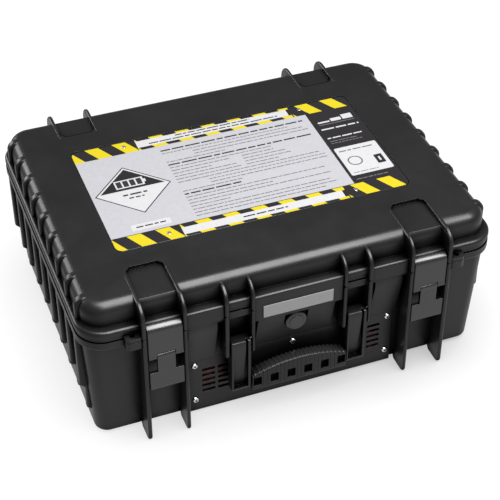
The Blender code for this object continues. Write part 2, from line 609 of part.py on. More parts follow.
def latch_lever(shop, side, word, material):
    """The pull: a plate, a tongue up to the knuckle, and a web back to its pivot in the base."""
    w = LATCH_HALF_W
    plate = sheet(plate_outline(), "yz", *centred(side, -w, w), edge=0.0008, edge_steps=1)
    t = TONGUE_HALF_W
    adds = [
        mirrored_box(side, (LATCH_X - t, LATCH_X + t), (LATCH_FRONT_Y, LATCH_BACK_Y), (0.1000, 0.1300)),
        cylinder(0, KNUCKLE_R, *centred(side, -t, t), (KNUCKLE_Y, KNUCKLE_Z), 16),
        sheet(web_outline(), "yz", *centred(side, -0.0070, 0.0070)),
    ]
    cuts = [
        cylinder(0, PIN_R + GAP, *centred(side, -w - 0.001, w + 0.001), (LEVER_PIVOT_Y, LEVER_PIVOT_Z), 12),
        cylinder(0, PIN_R + GAP, *centred(side, -w - 0.001, w + 0.001), (KNUCKLE_Y, KNUCKLE_Z), 12),
    ]
    pivot = (side * LATCH_X, LEVER_PIVOT_Y, LEVER_PIVOT_Z)
    shop.piece(f"latch_lever_{word}", plate, material, adds, cuts, origin=pivot)


def plate_outline():
    """Section (y, z) of the pull plate, with a lip rolled back at its lower edge."""
    low, top = LATCH_LOW_Z, LEVER_TOP_Z
    lip = arc((LATCH_FRONT_Y + 0.0030, low + 0.0030), 0.0030, 180, 270, 3)
    return [(LATCH_BACK_Y, top), (LATCH_FRONT_Y, top)] + lip + [(LATCH_BACK_Y + 0.0040, low),
                                                                (LATCH_BACK_Y + 0.0040, low + 0.0030),
                                                                (LATCH_BACK_Y, low + 0.0050)]


def web_outline():
    hub = arc((LEVER_PIVOT_Y, LEVER_PIVOT_Z), 0.0045, 110, -110, 8)
    return hub + [(LATCH_BACK_Y - 0.0010, 0.1080), (LATCH_BACK_Y - 0.0010, 0.1255)]


def latch_hook(shop, side, word, material):
    """The draw plate: a roll along its top that bears on the lid, and two eyes on the knuckle pin."""
    w = LATCH_HALF_W
    top = arc((LATCH_FRONT_Y + HOOK_ROLL_R, LATCH_TOP_Z - HOOK_ROLL_R), HOOK_ROLL_R, 85, 180, 7)
    lean = [(LATCH_BACK_Y, 0.1620), (-0.1960, 0.1680)]
    section = top + [(LATCH_FRONT_Y, 0.1290), (LATCH_BACK_Y, 0.1290)] + lean
    plate = sheet(section, "yz", *centred(side, -w, w), edge=0.0008, edge_steps=1)
    notch = TONGUE_HALF_W + GAP * 2
    adds = [cylinder(0, KNUCKLE_R, *centred(side, *xs), (KNUCKLE_Y, KNUCKLE_Z), 16)
            for xs in ((-w + 0.0003, -notch), (notch, w - 0.0003))]
    cuts = [
        mirrored_box(side, (LATCH_X - notch, LATCH_X + notch), (-0.2120, -0.1900), (0.1200, 0.1352)),
        cylinder(0, PIN_R + GAP, *centred(side, -w - 0.001, w + 0.001), (KNUCKLE_Y, KNUCKLE_Z), 12),
    ]
    pivot = (side * LATCH_X, KNUCKLE_Y, KNUCKLE_Z)
    shop.piece(f"latch_hook_{word}", plate, material, adds, cuts, origin=pivot)


def latch_pins(shop, side, word, material):
    xs = span(side, LATCH_FINS[0][0] + 0.0004, LATCH_FINS[1][1] - 0.0004)
    shop.piece(f"latch_pin_{word}", cylinder(0, PIN_R, *xs, (LEVER_PIVOT_Y, LEVER_PIVOT_Z), 12), material)
    xs = centred(side, -LATCH_HALF_W + 0.0006, LATCH_HALF_W - 0.0006)
    shop.piece(f"knuckle_pin_{word}", cylinder(0, PIN_R, *xs, (KNUCKLE_Y, KNUCKLE_Z), 12), material)


# ---------------------------------------------------------------- inside

def fans(shop, frame_material, rotor_material):
    """Two cooling fans behind the vents, each a square frame and a rotor on its hub."""
    back = FAN_Y + FAN_DEPTH
    half = FAN_SIZE / 2
    for side, word in SIDES:
        x = side * FAN_X
        frame = slab((x - half, FAN_Y, FAN_Z - half), (x + half, back, FAN_Z + half))
        bevel_edges(frame, along(1), 0.0030, 2)
        duct = cylinder(1, 0.0275, FAN_Y - 0.001, back + 0.001, (x, FAN_Z), 24)
        ys = (back - 0.0030, back - 0.0002)
        hub = cylinder(1, 0.0090, *ys, (x, FAN_Z), 16)
        struts = [box((x - dx, ys[0], FAN_Z - dz), (x + dx, ys[1], FAN_Z + dz))
                  for dx, dz in ((0.0290, 0.0015), (0.0015, 0.0290))]
        obj = shop.piece(f"fan_frame_{word}", frame, frame_material, cuts=[duct])
        bridge = obj.modifiers.new("bridge", "BOOLEAN")
        bridge.operation = "UNION"
        bridge.operand_type = "COLLECTION"
        bridge.collection = shop.helper(f"fan_bridge_{word}", [hub] + struts)
        rotor_hub = cylinder(1, 0.0100, FAN_Y + 0.0010, back - 0.0034, (x, FAN_Z), 16)
        blades = [fan_blade(x, turn * 360 / 7) for turn in range(7)]
        shop.piece(f"fan_rotor_{word}", rotor_hub, rotor_material, blades, origin=(x, FAN_Y, FAN_Z))


def fan_blade(x, turn):
    """A pitched blade from the rotor's hub towards the duct."""
    bm = box((0.0085, -0.0006, -0.0055), (0.0262, 0.0006, 0.0055))
    middle_y = FAN_Y + 0.0062
    place = Matrix.Translation((x, middle_y, FAN_Z)) @ Matrix.Rotation(math.radians(turn), 4, "Y")
    pitch = Matrix.Rotation(math.radians(50), 4, "X")
    bmesh.ops.transform(bm, matrix=place @ pitch, verts=bm.verts)
    return bm


def battery(shop, case_material, metal, board_material, wire_material):
    """Two cell blocks on the floor, a bus bar across their terminals, and the board that watches them."""
    floor = CAVITY_Z + GAP
    for side, word in SIDES:
        pack = mirrored_box(side, (0.0060, 0.2200), (-0.0300, 0.1600), (floor, 0.1080), corner=0.0060,
                            top=0.0030, corner_steps=2, edge_steps=1)
        posts = [cylinder(2, 0.0060, 0.1070, 0.1110, (side * x, 0.1380), 12) for x in (0.0300, 0.1900)]
        shop.piece(f"battery_module_{word}", pack, case_material, posts)
    bar = slab((-0.0380, 0.1300, 0.1113), (0.0380, 0.1460, 0.1133))
    shop.piece("bus_bar", bar, metal)
    board = slab((-0.0700, -0.0100, 0.1150), (0.0700, 0.1100, 0.1166))
    parts = [slab((x - 0.0100, y - 0.0080, 0.1160), (x + 0.0100, y + 0.0080, 0.1240))
             for x in (-0.040, 0.040) for y in (0.015, 0.085)]
    stand = [slab((x - 0.0040, y - 0.0040, 0.1083), (x + 0.0040, y + 0.0040, 0.1155))
             for x in (-0.062, 0.062) for y in (-0.002, 0.102)]
    shop.piece("battery_board", board, board_material, parts + stand)
    for side, word in SIDES:
        shop.piece(f"battery_lead_{word}", battery_lead(side), wire_material)


def battery_lead(side):
    """A cable from an outer battery post forward and down to the inverter."""
    post, bend = (side * 0.1900, 0.1380, 0.1143), (side * 0.1900, 0.0400, 0.1250)
    drop, end = (side * 0.1500, -0.0200, 0.1250), (side * 0.1200, -0.0520, 0.1153)
    return pipe([post, bend, drop, end], 0.0030)


def pipe(points, radius):
    curve = bpy.data.curves.new("pipe", "CURVE")
    curve.dimensions = "3D"
    curve.bevel_depth = radius
    curve.bevel_resolution = 2
    curve.use_fill_caps = True
    spline = curve.splines.new("POLY")
    spline.points.add(len(points) - 1)
    for point, place in zip(spline.points, points):
        point.co = (*place, 1)
    guide = bpy.data.objects.new("pipe", curve)
    bpy.context.scene.collection.objects.link(guide)
    bpy.context.view_layer.update()
    mesh = bpy.data.meshes.new_from_object(guide.evaluated_get(bpy.context.evaluated_depsgraph_get()))
    bpy.data.objects.remove(guide, do_unlink=True)
    bm = bmesh.new()
    bm.from_mesh(mesh)
    bpy.data.meshes.remove(mesh)
    bmesh.ops.remove_doubles(bm, verts=bm.verts, dist=1e-6)
    return bm


def inverter(shop, material):
    """The inverter and charger box in front of the battery, with cooling fins on its top."""
    low = CAVITY_Z + GAP
    body = slab((-0.1500, -0.1480, low), (0.1500, -0.0400, 0.1000), corner=0.0030, corner_steps=2)
    fins = [box((x - 0.0015, -0.1400, 0.0990), (x + 0.0015, -0.0480, 0.1120))
            for x in [0.0300 * (i - 4) for i in range(9)]]
    shop.piece("inverter", body, material, fins)


def deck(shop, plate_material, dark, screen_material, metal, red):
    """The control deck that closes the base, and what it carries."""
    top = DECK_Z + DECK_THICK
    body = mid_slab(DECK_X, DECK_Y, DECK_Z, top, corner=0.0200, corner_steps=3)
    cuts = [
        slab((-0.0620, 0.0300, 0.1300), (0.0620, 0.1000, 0.1500)),
        slab((-0.0140, -0.0500, 0.1300), (0.0140, -0.0120, 0.1500)),
        cylinder(2, 0.0065, 0.1300, 0.1500, (0.0, 0.0080), 16),
        slab((-0.2050, -0.1100, 0.1300), (-0.1550, -0.0900, 0.1500)),
    ]
    for side, _ in SIDES:
        cuts.append(cylinder(2, 0.0255, 0.1300, 0.1500, (side * 0.1300, 0.0600), 16))
    for x, y in DECK_SCREWS:
        cuts.append(cylinder(2, SCREW_HOLE_R, 0.1300, 0.1500, (x, y), 10))
    cuts.append(cylinder(2, 0.0147, 0.1300, 0.1500, (0.1300, -0.1000), 16))
    shop.piece("control_deck", body, plate_material, cuts=cuts)
    display(shop, screen_material)
    for side, word in SIDES:
        outlet(shop, f"ac_outlet_{word}", side * 0.1300, 0.0600, dark)
    usb_block(shop, dark)
    charge_inlet(shop, dark)
    main_switch(shop, dark, red)
    display_button(shop, metal)
    profile = [(0, 0.0020), (0.0034, 0.0010), (0.0036, 0), (SCREW_R, 0), (SCREW_R, -0.0060), (0, -0.0060)]
    for number, (x, y) in enumerate(DECK_SCREWS, 1):
        turned(f"deck_screw_{number}", profile, shop.parts, metal, (x, y, top + GAP), FACING_UP, 8)


DECK_SCREWS = ((-0.2250, 0.1550), (0.2250, 0.1550), (-0.2250, -0.1550), (0.2250, -0.1550))


def display(shop, material):
    body = slab((-0.0616, 0.0304, 0.1320), (0.0616, 0.0996, 0.1435), corner=0.0020, corner_steps=2)
    bezel = slab((-0.0660, 0.0260, 0.1433), (0.0660, 0.1040, 0.1455), corner=0.0040, corner_steps=3)
    window = slab((-0.0540, 0.0380, 0.1445), (0.0540, 0.0920, 0.1500))
    shop.piece("display", body, material, [bezel], [window])


def outlet(shop, name, x, y, material):
    """A round mains socket with a well and two pin holes."""
    well = cylinder(2, 0.0200, 0.1340, 0.1600, (x, y), 16)
    pins = [cylinder(2, 0.0025, 0.1280, 0.1400, (x + dx, y), 6) for dx in (-0.0095, 0.0095)]
    body = cylinder(2, 0.0250, 0.1240, 0.1435, (x, y), 16)
    rim = cylinder(2, 0.0300, 0.1433, 0.1460, (x, y), 16)
    shop.piece(name, body, material, [rim], [well] + pins)


def usb_block(shop, material):
    body = slab((-0.2046, -0.1096, 0.1280), (-0.1554, -0.0904, 0.1435))
    rim = slab((-0.2080, -0.1130, 0.1433), (-0.1520, -0.0870, 0.1450), corner=0.0030, corner_steps=2)
    slots = [slab((x - 0.0065, -0.1030, 0.1340), (x + 0.0065, -0.0970, 0.1500)) for x in (-0.1920, -0.1680)]
    shop.piece("usb_block", body, material, [rim], slots)


def charge_inlet(shop, material):
    place = (0.1300, -0.1000)
    body = cylinder(2, 0.0141, 0.1280, 0.1435, place, 16)
    rim = cylinder(2, 0.0175, 0.1433, 0.1452, place, 16)
    well = cylinder(2, 0.0110, 0.1340, 0.1500, place, 16)
    shop.piece("charge_inlet", body, material, [rim], [well])


SWITCH_Y, SWITCH_PIVOT_Z, SWITCH_TIP = -0.0310, 0.1400, 11.5


def main_switch(shop, dark, red):
    """A rocker switch: a frame with a well, and the rocker that tips in it."""
    frame = slab((-0.0136, -0.0496, 0.1250), (0.0136, -0.0124, 0.1435))
    rim = slab((-0.0160, -0.0520, 0.1433), (0.0160, -0.0100, 0.1455), corner=0.0020, corner_steps=2)
    well = slab((-0.0105, -0.0465, 0.1290), (0.0105, -0.0155, 0.1500))
    shop.piece("switch_frame", frame, dark, [rim], [well])
    half, crown, waist = 0.0135, 0.0058, 0.0040
    outline = [(-half, crown), (0.0, waist), (half, crown), (half, 0.0), (0.0, -crown), (-half, 0.0)]
    rocker = sheet(list(reversed(outline)), "yz", -0.0100, 0.0100)
    pivot = Matrix.Translation((0, SWITCH_Y, SWITCH_PIVOT_Z))
    tip = Matrix.Rotation(math.radians(SWITCH_TIP), 4, "X")
    bmesh.ops.transform(rocker, matrix=pivot @ tip, verts=rocker.verts)
    shop.piece("switch_rocker", rocker, red, origin=(0, SWITCH_Y, SWITCH_PIVOT_Z))


def display_button(shop, metal):
    """A small push button that wakes the display."""
    profile = [(0, 0.0035), (0.0050, 0.0033), (0.0058, 0.0025), (0.0058, -0.0050), (0, -0.0050)]
    turned("display_button", profile, shop.parts, metal, (0, 0.0080, 0.1430), FACING_UP, 16)


# ---------------------------------------------------------------- assembly

def build():
    clear_scene()
    shop = Workshop("power_bank")
    black = make_material("case_black", (0.032, 0.032, 0.034), 0.45)
    rubber = make_material("grip_rubber", (0.028, 0.028, 0.030), 0.65)
    seal = make_material("seal_rubber", (0.06, 0.06, 0.06), 0.8)
    zinc = make_material("zinc", (0.78, 0.78, 0.80), 0.3, 1.0)
    label = make_material("label_print", (0.80, 0.80, 0.84), 0.35)
    grey = make_material("name_plate_grey", (0.30, 0.30, 0.31), 0.4, 0.3)
    fan_red = make_material("fan_red", (0.16, 0.02, 0.025), 0.5)
    blue = make_material("cell_blue", (0.03, 0.09, 0.25), 0.45)
    board = make_material("board_green", (0.01, 0.12, 0.05), 0.5)
    copper = make_material("copper", (0.80, 0.42, 0.28), 0.35, 1.0)
    alloy = make_material("inverter_alloy", (0.55, 0.56, 0.58), 0.4, 0.9)
    wire = make_material("cable_red", (0.45, 0.02, 0.02), 0.5)
    red = make_material("rocker_red", (0.55, 0.02, 0.02), 0.35)
    screen = make_material("screen_black", (0.01, 0.012, 0.015), 0.15)

    base_shell(shop, black)
    base_seal(shop, seal)
    vent_plate(shop, black)
    plate_screws(shop, zinc)
    relief_valve(shop, black, zinc)
    hinge_pins(shop, zinc)
    lid_shell(shop, black)
    lid_label(shop, label)
    label_rivets(shop, zinc)
    name_plate(shop, grey)
    handle_frame(shop, black)
    handle_grip(shop, rubber)
    handle_pins(shop, zinc)
    for side, word in SIDES:
        latch_lever(shop, side, word, black)
        latch_hook(shop, side, word, black)
        latch_pins(shop, side, word, zinc)
    fans(shop, fan_red, fan_red)
    battery(shop, blue, copper, board, wire)
    inverter(shop, alloy)
    deck(shop, black, black, screen, zinc, red)


build()
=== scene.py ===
"""Looks of a portable power bank in a rugged hard case.

The case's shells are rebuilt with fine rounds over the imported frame, the lid's label is printed, and every
piece gets a procedural material. Metres, +Z up, the frame's own axes.
"""
import math

import bmesh
import bpy
from mathutils import Matrix, Vector


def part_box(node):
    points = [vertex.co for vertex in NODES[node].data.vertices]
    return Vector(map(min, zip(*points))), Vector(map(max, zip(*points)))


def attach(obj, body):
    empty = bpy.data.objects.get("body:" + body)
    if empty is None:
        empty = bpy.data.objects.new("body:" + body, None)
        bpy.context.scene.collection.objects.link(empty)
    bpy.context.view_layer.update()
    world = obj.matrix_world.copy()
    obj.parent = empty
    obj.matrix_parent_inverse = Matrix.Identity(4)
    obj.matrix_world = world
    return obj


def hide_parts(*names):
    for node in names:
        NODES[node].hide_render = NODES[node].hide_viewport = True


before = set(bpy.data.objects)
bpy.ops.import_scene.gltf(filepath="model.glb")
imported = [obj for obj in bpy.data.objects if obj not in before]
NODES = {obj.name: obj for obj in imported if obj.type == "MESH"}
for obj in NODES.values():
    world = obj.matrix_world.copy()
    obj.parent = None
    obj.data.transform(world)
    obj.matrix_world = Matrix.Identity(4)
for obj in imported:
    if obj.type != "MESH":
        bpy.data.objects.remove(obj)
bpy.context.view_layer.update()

# ---------------------------------------------------------------- sizes
# Outer sizes come from the boxes of the frame's nodes. The rest are the part's own, in metres.

GAP = 0.0003
SHUT_LINE = 0.0004
_, base_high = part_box("base_shell")
_, lid_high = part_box("lid_shell")
plate_low, plate_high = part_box("vent_plate")
label_low, label_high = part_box("lid_label")
_, deck_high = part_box("control_deck")
grip_low, grip_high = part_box("handle_grip")

FLANGE_X, FLANGE_Y, FLANGE_R = lid_high.x, 0.1950, 0.0330
LID_X, LID_Y, LID_R = FLANGE_X - 0.0075, 0.1840, 0.0260
BASE_X, BASE_Y, BASE_R = FLANGE_X - 0.0055, 0.1845, 0.0170
BASE_LOW_X, BASE_LOW_Y = FLANGE_X - 0.0125, 0.1780
TOP_Z, LID_TOP_Z = lid_high.z, lid_high.z - 0.0004
SEAM_Z, BASE_Z = base_high.z - 0.0059, 0.0030
LID_FOOT_Z, RIM_Z = SEAM_Z + SHUT_LINE, SEAM_Z - SHUT_LINE
FLANGE_TOP_Z, FLANGE_LOW_Z, FLANGE_STEP = SEAM_Z + 0.0140, SEAM_Z - 0.0120, 0.0003
LIP_INSET, LIP_TOP_Z = 0.0012, 0.1690
LID_HOLLOW_X, LID_HOLLOW_Y, LID_HOLLOW_R, LID_ROOF = 0.2410, 0.1775, 0.0200, 0.0065
LID_EDGE_R, BASE_EDGE_R = 0.0140, 0.0060

RIB_PITCH, RIB_COUNT, RIB_W = 0.0390, 9, 0.0105
RIB_ROUND, RIB_ROUND_STEPS = 0.0028, 3
LID_RIB_X, LID_RIB_CURVE_R = FLANGE_X - 0.0035, 0.0125
LID_RIB_ROOT_X, LID_RIB_LOW_Z, LID_RIB_TOP_Z = 0.2270, 0.1690, LID_TOP_Z - 0.0003
BASE_RIB_X, BASE_RIB_LOW_X = FLANGE_X - 0.0005, FLANGE_X - 0.0065
BASE_RIB_ROOT_X, BASE_RIB_TOP_Z = 0.2405, 0.1500
BASE_RIB_STEP_Z, BASE_RIB_LOW_Z, BASE_RIB_SLOPE = 0.0670, 0.0270, 0.0070

LATCH_FINS = ((0.1366, 0.1409), (0.1841, 0.1890))
HANDLE_FINS = ((0.0547, 0.0589), (0.0858, 0.0908))
LATCH_FIN_Y, HANDLE_FIN_Y = base_high.y, 0.2020
FIN_CURVE_R, FIN_ROUND, TOE_R = 0.0200, 0.0012, 0.0060
FIN_ROOT_Y, FIN_TAIL_Y, LID_FIN_ROOT_Z, LID_FIN_TAIL_Z = 0.1750, 0.1400, 0.1930, 0.1990
HANDLE_FIN_TIP_Z, HANDLE_FIN_CURVE_Z = 0.0940, 0.1760
POCKET_FRONT_Y, POCKET_BACK_Y, POCKET_DEPTH, POCKET_CHAMFER = 0.1280, 0.1410, 0.0040, 0.0060

SKIRT_Y, SKIRT_CENTRE_Z, SKIRT_SIDE_Z, SKIRT_GAP = 0.1978, 0.1390, 0.1550, 0.0004
SKIRT_BACK_Y, SKIRT_R = 0.1880, 0.0030
PADLOCK_X, PADLOCK_Y = (0.1870, 0.2075), (-0.2050, -0.1880)
PADLOCK_HOLE_R, PADLOCK_HOLE_X, PADLOCK_HOLE_Y = 0.0032, 0.1985, -0.1975
PLATE_X, PLATE_TOP_Z = plate_high.x, plate_high.z
PLATE_IN_Y, PLATE_OUT_Y = -plate_high.y, -plate_low.y
PANEL_CENTRE_X, PANEL_SIDE_X = 0.0480, (0.0975, 0.1325)
PANEL_ROOT_Y, PANEL_BEND_Y, PANEL_BEND_Z, PANEL_TOP_Z = 0.1760, 0.1935, 0.1380, 0.1500
FRONT_WALL_Y = (-0.1850, -0.1700)
SCREW_HOLE_R, RIVET_HOLE_R, RIVET_HOLE_Z = 0.0019, 0.0018, 0.1994
FAN_PORT_X, FAN_PORT_Z = (0.0745, 0.1160), (0.0265, 0.0735)
VALVE_Z, VALVE_BORE_R, VALVE_RECESS, VALVE_RECESS_Y = 0.1170, 0.0090, 0.0145, -0.1865
HINGE_Y, HINGE_R, HINGE_PIN_R = 0.2000, 0.0060, 0.0020
HINGE_KNUCKLE_X, HINGE_CUT_Y = (0.1480, 0.1770), 0.1922
HANDLE_PIVOT, HANDLE_PIN_R = (-0.1945, 0.1120), 0.0025  # pivots in (y, z)
LEVER_PIVOT, PIN_R = (-0.1900, 0.1220), 0.0014
HINGE_BORE_X, LEVER_BORE_X, HANDLE_BORE_X = (0.1300, 0.1950), (0.1350, 0.1910), (0.0530, 0.0920)
LABEL_X, LABEL_FRONT_Y, LABEL_BACK_Y, LABEL_R = label_high.x, label_low.y, label_high.y, 0.0090
LABEL_RECESS_Z = label_low.z - 0.0004
CAVITY_X, CAVITY_Y, CAVITY_R, CAVITY_Z = FLANGE_X - 0.0155, 0.1740, 0.0220, 0.0075
SEAL_OUTER, SEAL_INNER = (0.2498, 0.1898, 0.0278), (0.2448, 0.1848, 0.0228)  # half x, half y, corner
SEAL_FLOOR_Z = 0.1556
PAST_TOP_Z, PAST_RIM_Z, UNDER_RIM_Z = 0.2100, 0.1700, 0.1500  # where open-ended cuts may stop
PAST_BACK_Y, PAST_FRONT_Y, UNDER_GROUND_Z = 0.2100, -0.2200, -0.0100
GRIP_END_Z, GRIP_RIB_RISE, GRIP_WINDOW_PITCH = 0.0600, 0.0004, 0.0213
GRIP_RIB_HALF_W, GRIP_RIB_R, GRIP_WINDOW_TOP_Z = 0.0011, 0.0032, 0.0585
CROSS_LONG, CROSS_WIDE, CROSS_DEEP = 0.0017, 0.0004, 0.0006
PRINT_RISE = 0.00003
STRIPE_PERIOD, STRIPE_LEAN = 0.0348, 0.54
SIDES = (-1, 1)  # left, right
ROUND_STEPS, SHELL_CORNER_STEPS, BORE_STEPS = 10, 14, 20
SHARP_ANGLE, SOFT_ANGLE = math.radians(32), math.radians(38)


def centre_of(node):
    low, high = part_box(node)
    return (low + high) / 2


SCREW_SPOTS = [(centre_of(n).x, centre_of(n).z) for n in sorted(NODES) if n.startswith("plate_screw_")]
RIVET_SPOTS = [(centre_of(n).x, centre_of(n).y) for n in sorted(NODES) if n.startswith("label_rivet_")]


# ---------------------------------------------------------------- shapes

def bevel_edges(bm, chosen, radius, steps):
    edges = [edge for edge in bm.edges if chosen(edge)]
    bmesh.ops.bevel(bm, geom=edges, offset=radius, segments=steps, profile=0.5, affect="EDGES",
                    clamp_overlap=False)


def along(axis):
    """A test for straight edges that run along one axis."""
    def test(edge):
        way = edge.verts[1].co - edge.verts[0].co
        return abs(way[axis]) > 0.999 * way.length
    return test


def on_plane(axis, value):
    """A test for edges that lie on the plane where one axis has the value."""
    def test(edge):
        return all(abs(vert.co[axis] - value) < 1e-6 for vert in edge.verts)
    return test


def box(low, high):
    bm = bmesh.new()
    bmesh.ops.create_cube(bm, size=1.0)
    low, high = Vector(low), Vector(high)
    bmesh.ops.scale(bm, vec=high - low, verts=bm.verts)
    bmesh.ops.translate(bm, vec=(high + low) / 2, verts=bm.verts)
    return bm


def slab(low, high, corner=0.0, top=0.0, bottom=0.0, corner_steps=4, edge_steps=3):
    """An upright box with rounded corners in plan, and rounded top and bottom rims."""
    bm = box(low, high)
    if corner:
        bevel_edges(bm, along(2), corner, corner_steps)
    if top:
        bevel_edges(bm, on_plane(2, high[2]), top, edge_steps)
    if bottom:
        bevel_edges(bm, on_plane(2, low[2]), bottom, edge_steps)
    return bm


def mid_slab(half_x, half_y, low_z, high_z, **rounding):
    return slab((-half_x, -half_y, low_z), (half_x, half_y, high_z), **rounding)


def cylinder(axis, radius, start, end, centre, steps=16):
    """A cylinder along an axis from start to end; centre holds its other two coordinates in order."""
    bm = bmesh.new()
    bmesh.ops.create_cone(bm, cap_ends=True, segments=steps, radius1=radius, radius2=radius,
                          depth=end - start)
    turn = {0: Matrix.Rotation(math.pi / 2, 4, "Y"), 1: Matrix.Rotation(-math.pi / 2, 4, "X"),
            2: Matrix.Identity(4)}[axis]
    place = list(centre)
    place.insert(axis, (start + end) / 2)
    bmesh.ops.transform(bm, matrix=Matrix.Translation(place) @ turn, verts=bm.verts)
    return bm


def arc(centre, radius, first, last, steps):
    """Points on an arc, angles in degrees, both ends included."""
    turns = [math.radians(first + (last - first) * i / steps) for i in range(steps + 1)]
    return [(centre[0] + radius * math.cos(t), centre[1] + radius * math.sin(t)) for t in turns]


PLANES = {
    "xy": Matrix.Identity(4),
    "yz": Matrix(((0, 0, 1, 0), (1, 0, 0, 0), (0, 1, 0, 0), (0, 0, 0, 1))),
    "xz": Matrix(((1, 0, 0, 0), (0, 0, -1, 0), (0, 1, 0, 0), (0, 0, 0, 1))),
}


def sheet(outline, plane, start, end, edge=0.0, edge_steps=2, hole=None):
    """A flat outline given thickness from start to end along the plane's normal."""
    curve = bpy.data.curves.new("outline", "CURVE")
    curve.dimensions = "2D"
    curve.fill_mode = "BOTH"
    curve.extrude = (end - start) / 2
    for points in [outline] + ([hole] if hole else []):
        spline = curve.splines.new("POLY")
        spline.points.add(len(points) - 1)
        for point, (u, v) in zip(spline.points, points):
            point.co = (u, v, 0, 1)
        spline.use_cyclic_u = True
    guide = bpy.data.objects.new("outline", curve)
    bpy.context.scene.collection.objects.link(guide)
    bpy.context.view_layer.update()
    mesh = bpy.data.meshes.new_from_object(guide.evaluated_get(bpy.context.evaluated_depsgraph_get()))
    bpy.data.objects.remove(guide, do_unlink=True)
    bm = bmesh.new()
    bm.from_mesh(mesh)
    bpy.data.meshes.remove(mesh)
    bmesh.ops.remove_doubles(bm, verts=bm.verts, dist=1e-6)
    bmesh.ops.dissolve_limit(bm, angle_limit=math.radians(0.5), verts=bm.verts, edges=bm.edges)
    if edge:
        half = (end - start) / 2
        bevel_edges(bm, lambda e: on_plane(2, half)(e) or on_plane(2, -half)(e), edge, edge_steps)
    lift = Matrix.Translation((0, 0, (start + end) / 2))
    bmesh.ops.transform(bm, matrix=PLANES[plane] @ lift, verts=bm.verts)
    return bm


def span(side, low, high):
    """An interval of |x| on the left (side -1) or right (side 1)."""
    return (low, high) if side > 0 else (-high, -low)


def mirrored_box(side, xs, ys, zs, **rounding):
    x = span(side, *xs)
    return slab((x[0], ys[0], zs[0]), (x[1], ys[1], zs[1]), **rounding)


def mesh_object(name, bm):
    bmesh.ops.recalc_face_normals(bm, faces=bm.faces)
    mesh = bpy.data.meshes.new(name)
    bm.to_mesh(mesh)
    bm.free()
    obj = bpy.data.objects.new(name, mesh)
    bpy.context.scene.collection.objects.link(obj)
    return obj


def carved(name, body, adds, cuts):
    """A piece made of one body with shapes joined on and cut away, as a plain mesh."""
    obj = mesh_object(name, body)
    helpers = []
    for kind, shapes in (("UNION", adds), ("DIFFERENCE", cuts)):
        group = bpy.data.collections.new(f"{name}_{kind}")
        bpy.context.scene.collection.children.link(group)
        for number, bm in enumerate(shapes):
            helper = mesh_object(f"{name}_{kind}_{number}", bm)
            bpy.context.scene.collection.objects.unlink(helper)
            group.objects.link(helper)
            helpers.append(helper)
        tool = obj.modifiers.new(kind, "BOOLEAN")
        tool.operation, tool.solver = kind, "MANIFOLD"
        tool.operand_type, tool.collection = "COLLECTION", group
    bpy.context.view_layer.update()
    made = bpy.data.meshes.new_from_object(obj.evaluated_get(bpy.context.evaluated_depsgraph_get()))
    obj.modifiers.clear()
    obj.data = made
    for helper in helpers:
        bpy.data.objects.remove(helper, do_unlink=True)
    return obj


def shade(obj):
    """Smooth shading that keeps the sharp edges."""
    obj.data.shade_smooth()
    obj.data.set_sharp_from_angle(angle=SHARP_ANGLE)
    obj.modifiers.new("normals", "WEIGHTED_NORMAL").keep_sharp = True


def cover(obj, material):
    obj.data.materials.clear()
    obj.data.materials.append(material)


def finish_piece(obj, body, material, nodes=()):
    """Shading, material, and the CAD body and nodes that the piece rides on and stands for."""
    cover(obj, material)
    shade(obj)
    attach(obj, body)
    if nodes:
        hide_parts(*nodes)


# ---------------------------------------------------------------- materials

def node_material(name, colour, roughness, metallic=0.0, specular=0.5):
    material = bpy.data.materials.new(name)
    material.use_nodes = True
    shader = material.node_tree.nodes["Principled BSDF"]
    shader.inputs["Base Color"].default_value = (*colour, 1.0)
    shader.inputs["Roughness"].default_value = roughness
    shader.inputs["Metallic"].default_value = metallic
    shader.inputs["Specular IOR Level"].default_value = specular
    return material, material.node_tree, shader


def add(tree, kind, **inputs):
    node = tree.nodes.new(kind)
    for key, value in inputs.items():
        node.inputs[key.replace("_", " ")].default_value = value
    return node


def object_coordinates(tree, stretch=(1, 1, 1)):
    place = tree.nodes.new("ShaderNodeTexCoord")
    mapping = add(tree, "ShaderNodeMapping", Scale=stretch)
    tree.links.new(place.outputs["Object"], mapping.inputs["Vector"])
    return mapping.outputs["Vector"]


def noise(tree, vector, scale, detail=2.0):
    node = add(tree, "ShaderNodeTexNoise", Scale=scale, Detail=detail, Roughness=0.5)
    tree.links.new(vector, node.inputs["Vector"])
    return node.outputs["Fac"]


def ramp(tree, value, low, high):
    """Maps the middle part of a 0-1 value to a range, and holds it level past either end."""
    node = add(tree, "ShaderNodeMapRange", From_Min=0.3, From_Max=0.7, To_Min=low, To_Max=high)
    tree.links.new(value, node.inputs["Value"])
    return node.outputs["Result"]


def tint(tree, value, dark, light):
    node = tree.nodes.new("ShaderNodeMix")
    node.data_type = "RGBA"
    node.inputs["A"].default_value = (*dark, 1)
    node.inputs["B"].default_value = (*light, 1)
    tree.links.new(value, node.inputs["Factor"])
    return node.outputs["Result"]


def bump(tree, shader, height, strength, distance, edge=0.0):
    """Relief from a height value. With an edge radius, edges are shaded as if rounded."""
    node = add(tree, "ShaderNodeBump", Strength=strength, Distance=distance)
    tree.links.new(height, node.inputs["Height"])
    if edge:
        soft = tree.nodes.new("ShaderNodeBevel")
        soft.samples = 4
        soft.inputs["Radius"].default_value = edge
        tree.links.new(soft.outputs["Normal"], node.inputs["Normal"])
    tree.links.new(node.outputs["Normal"], shader.inputs["Normal"])


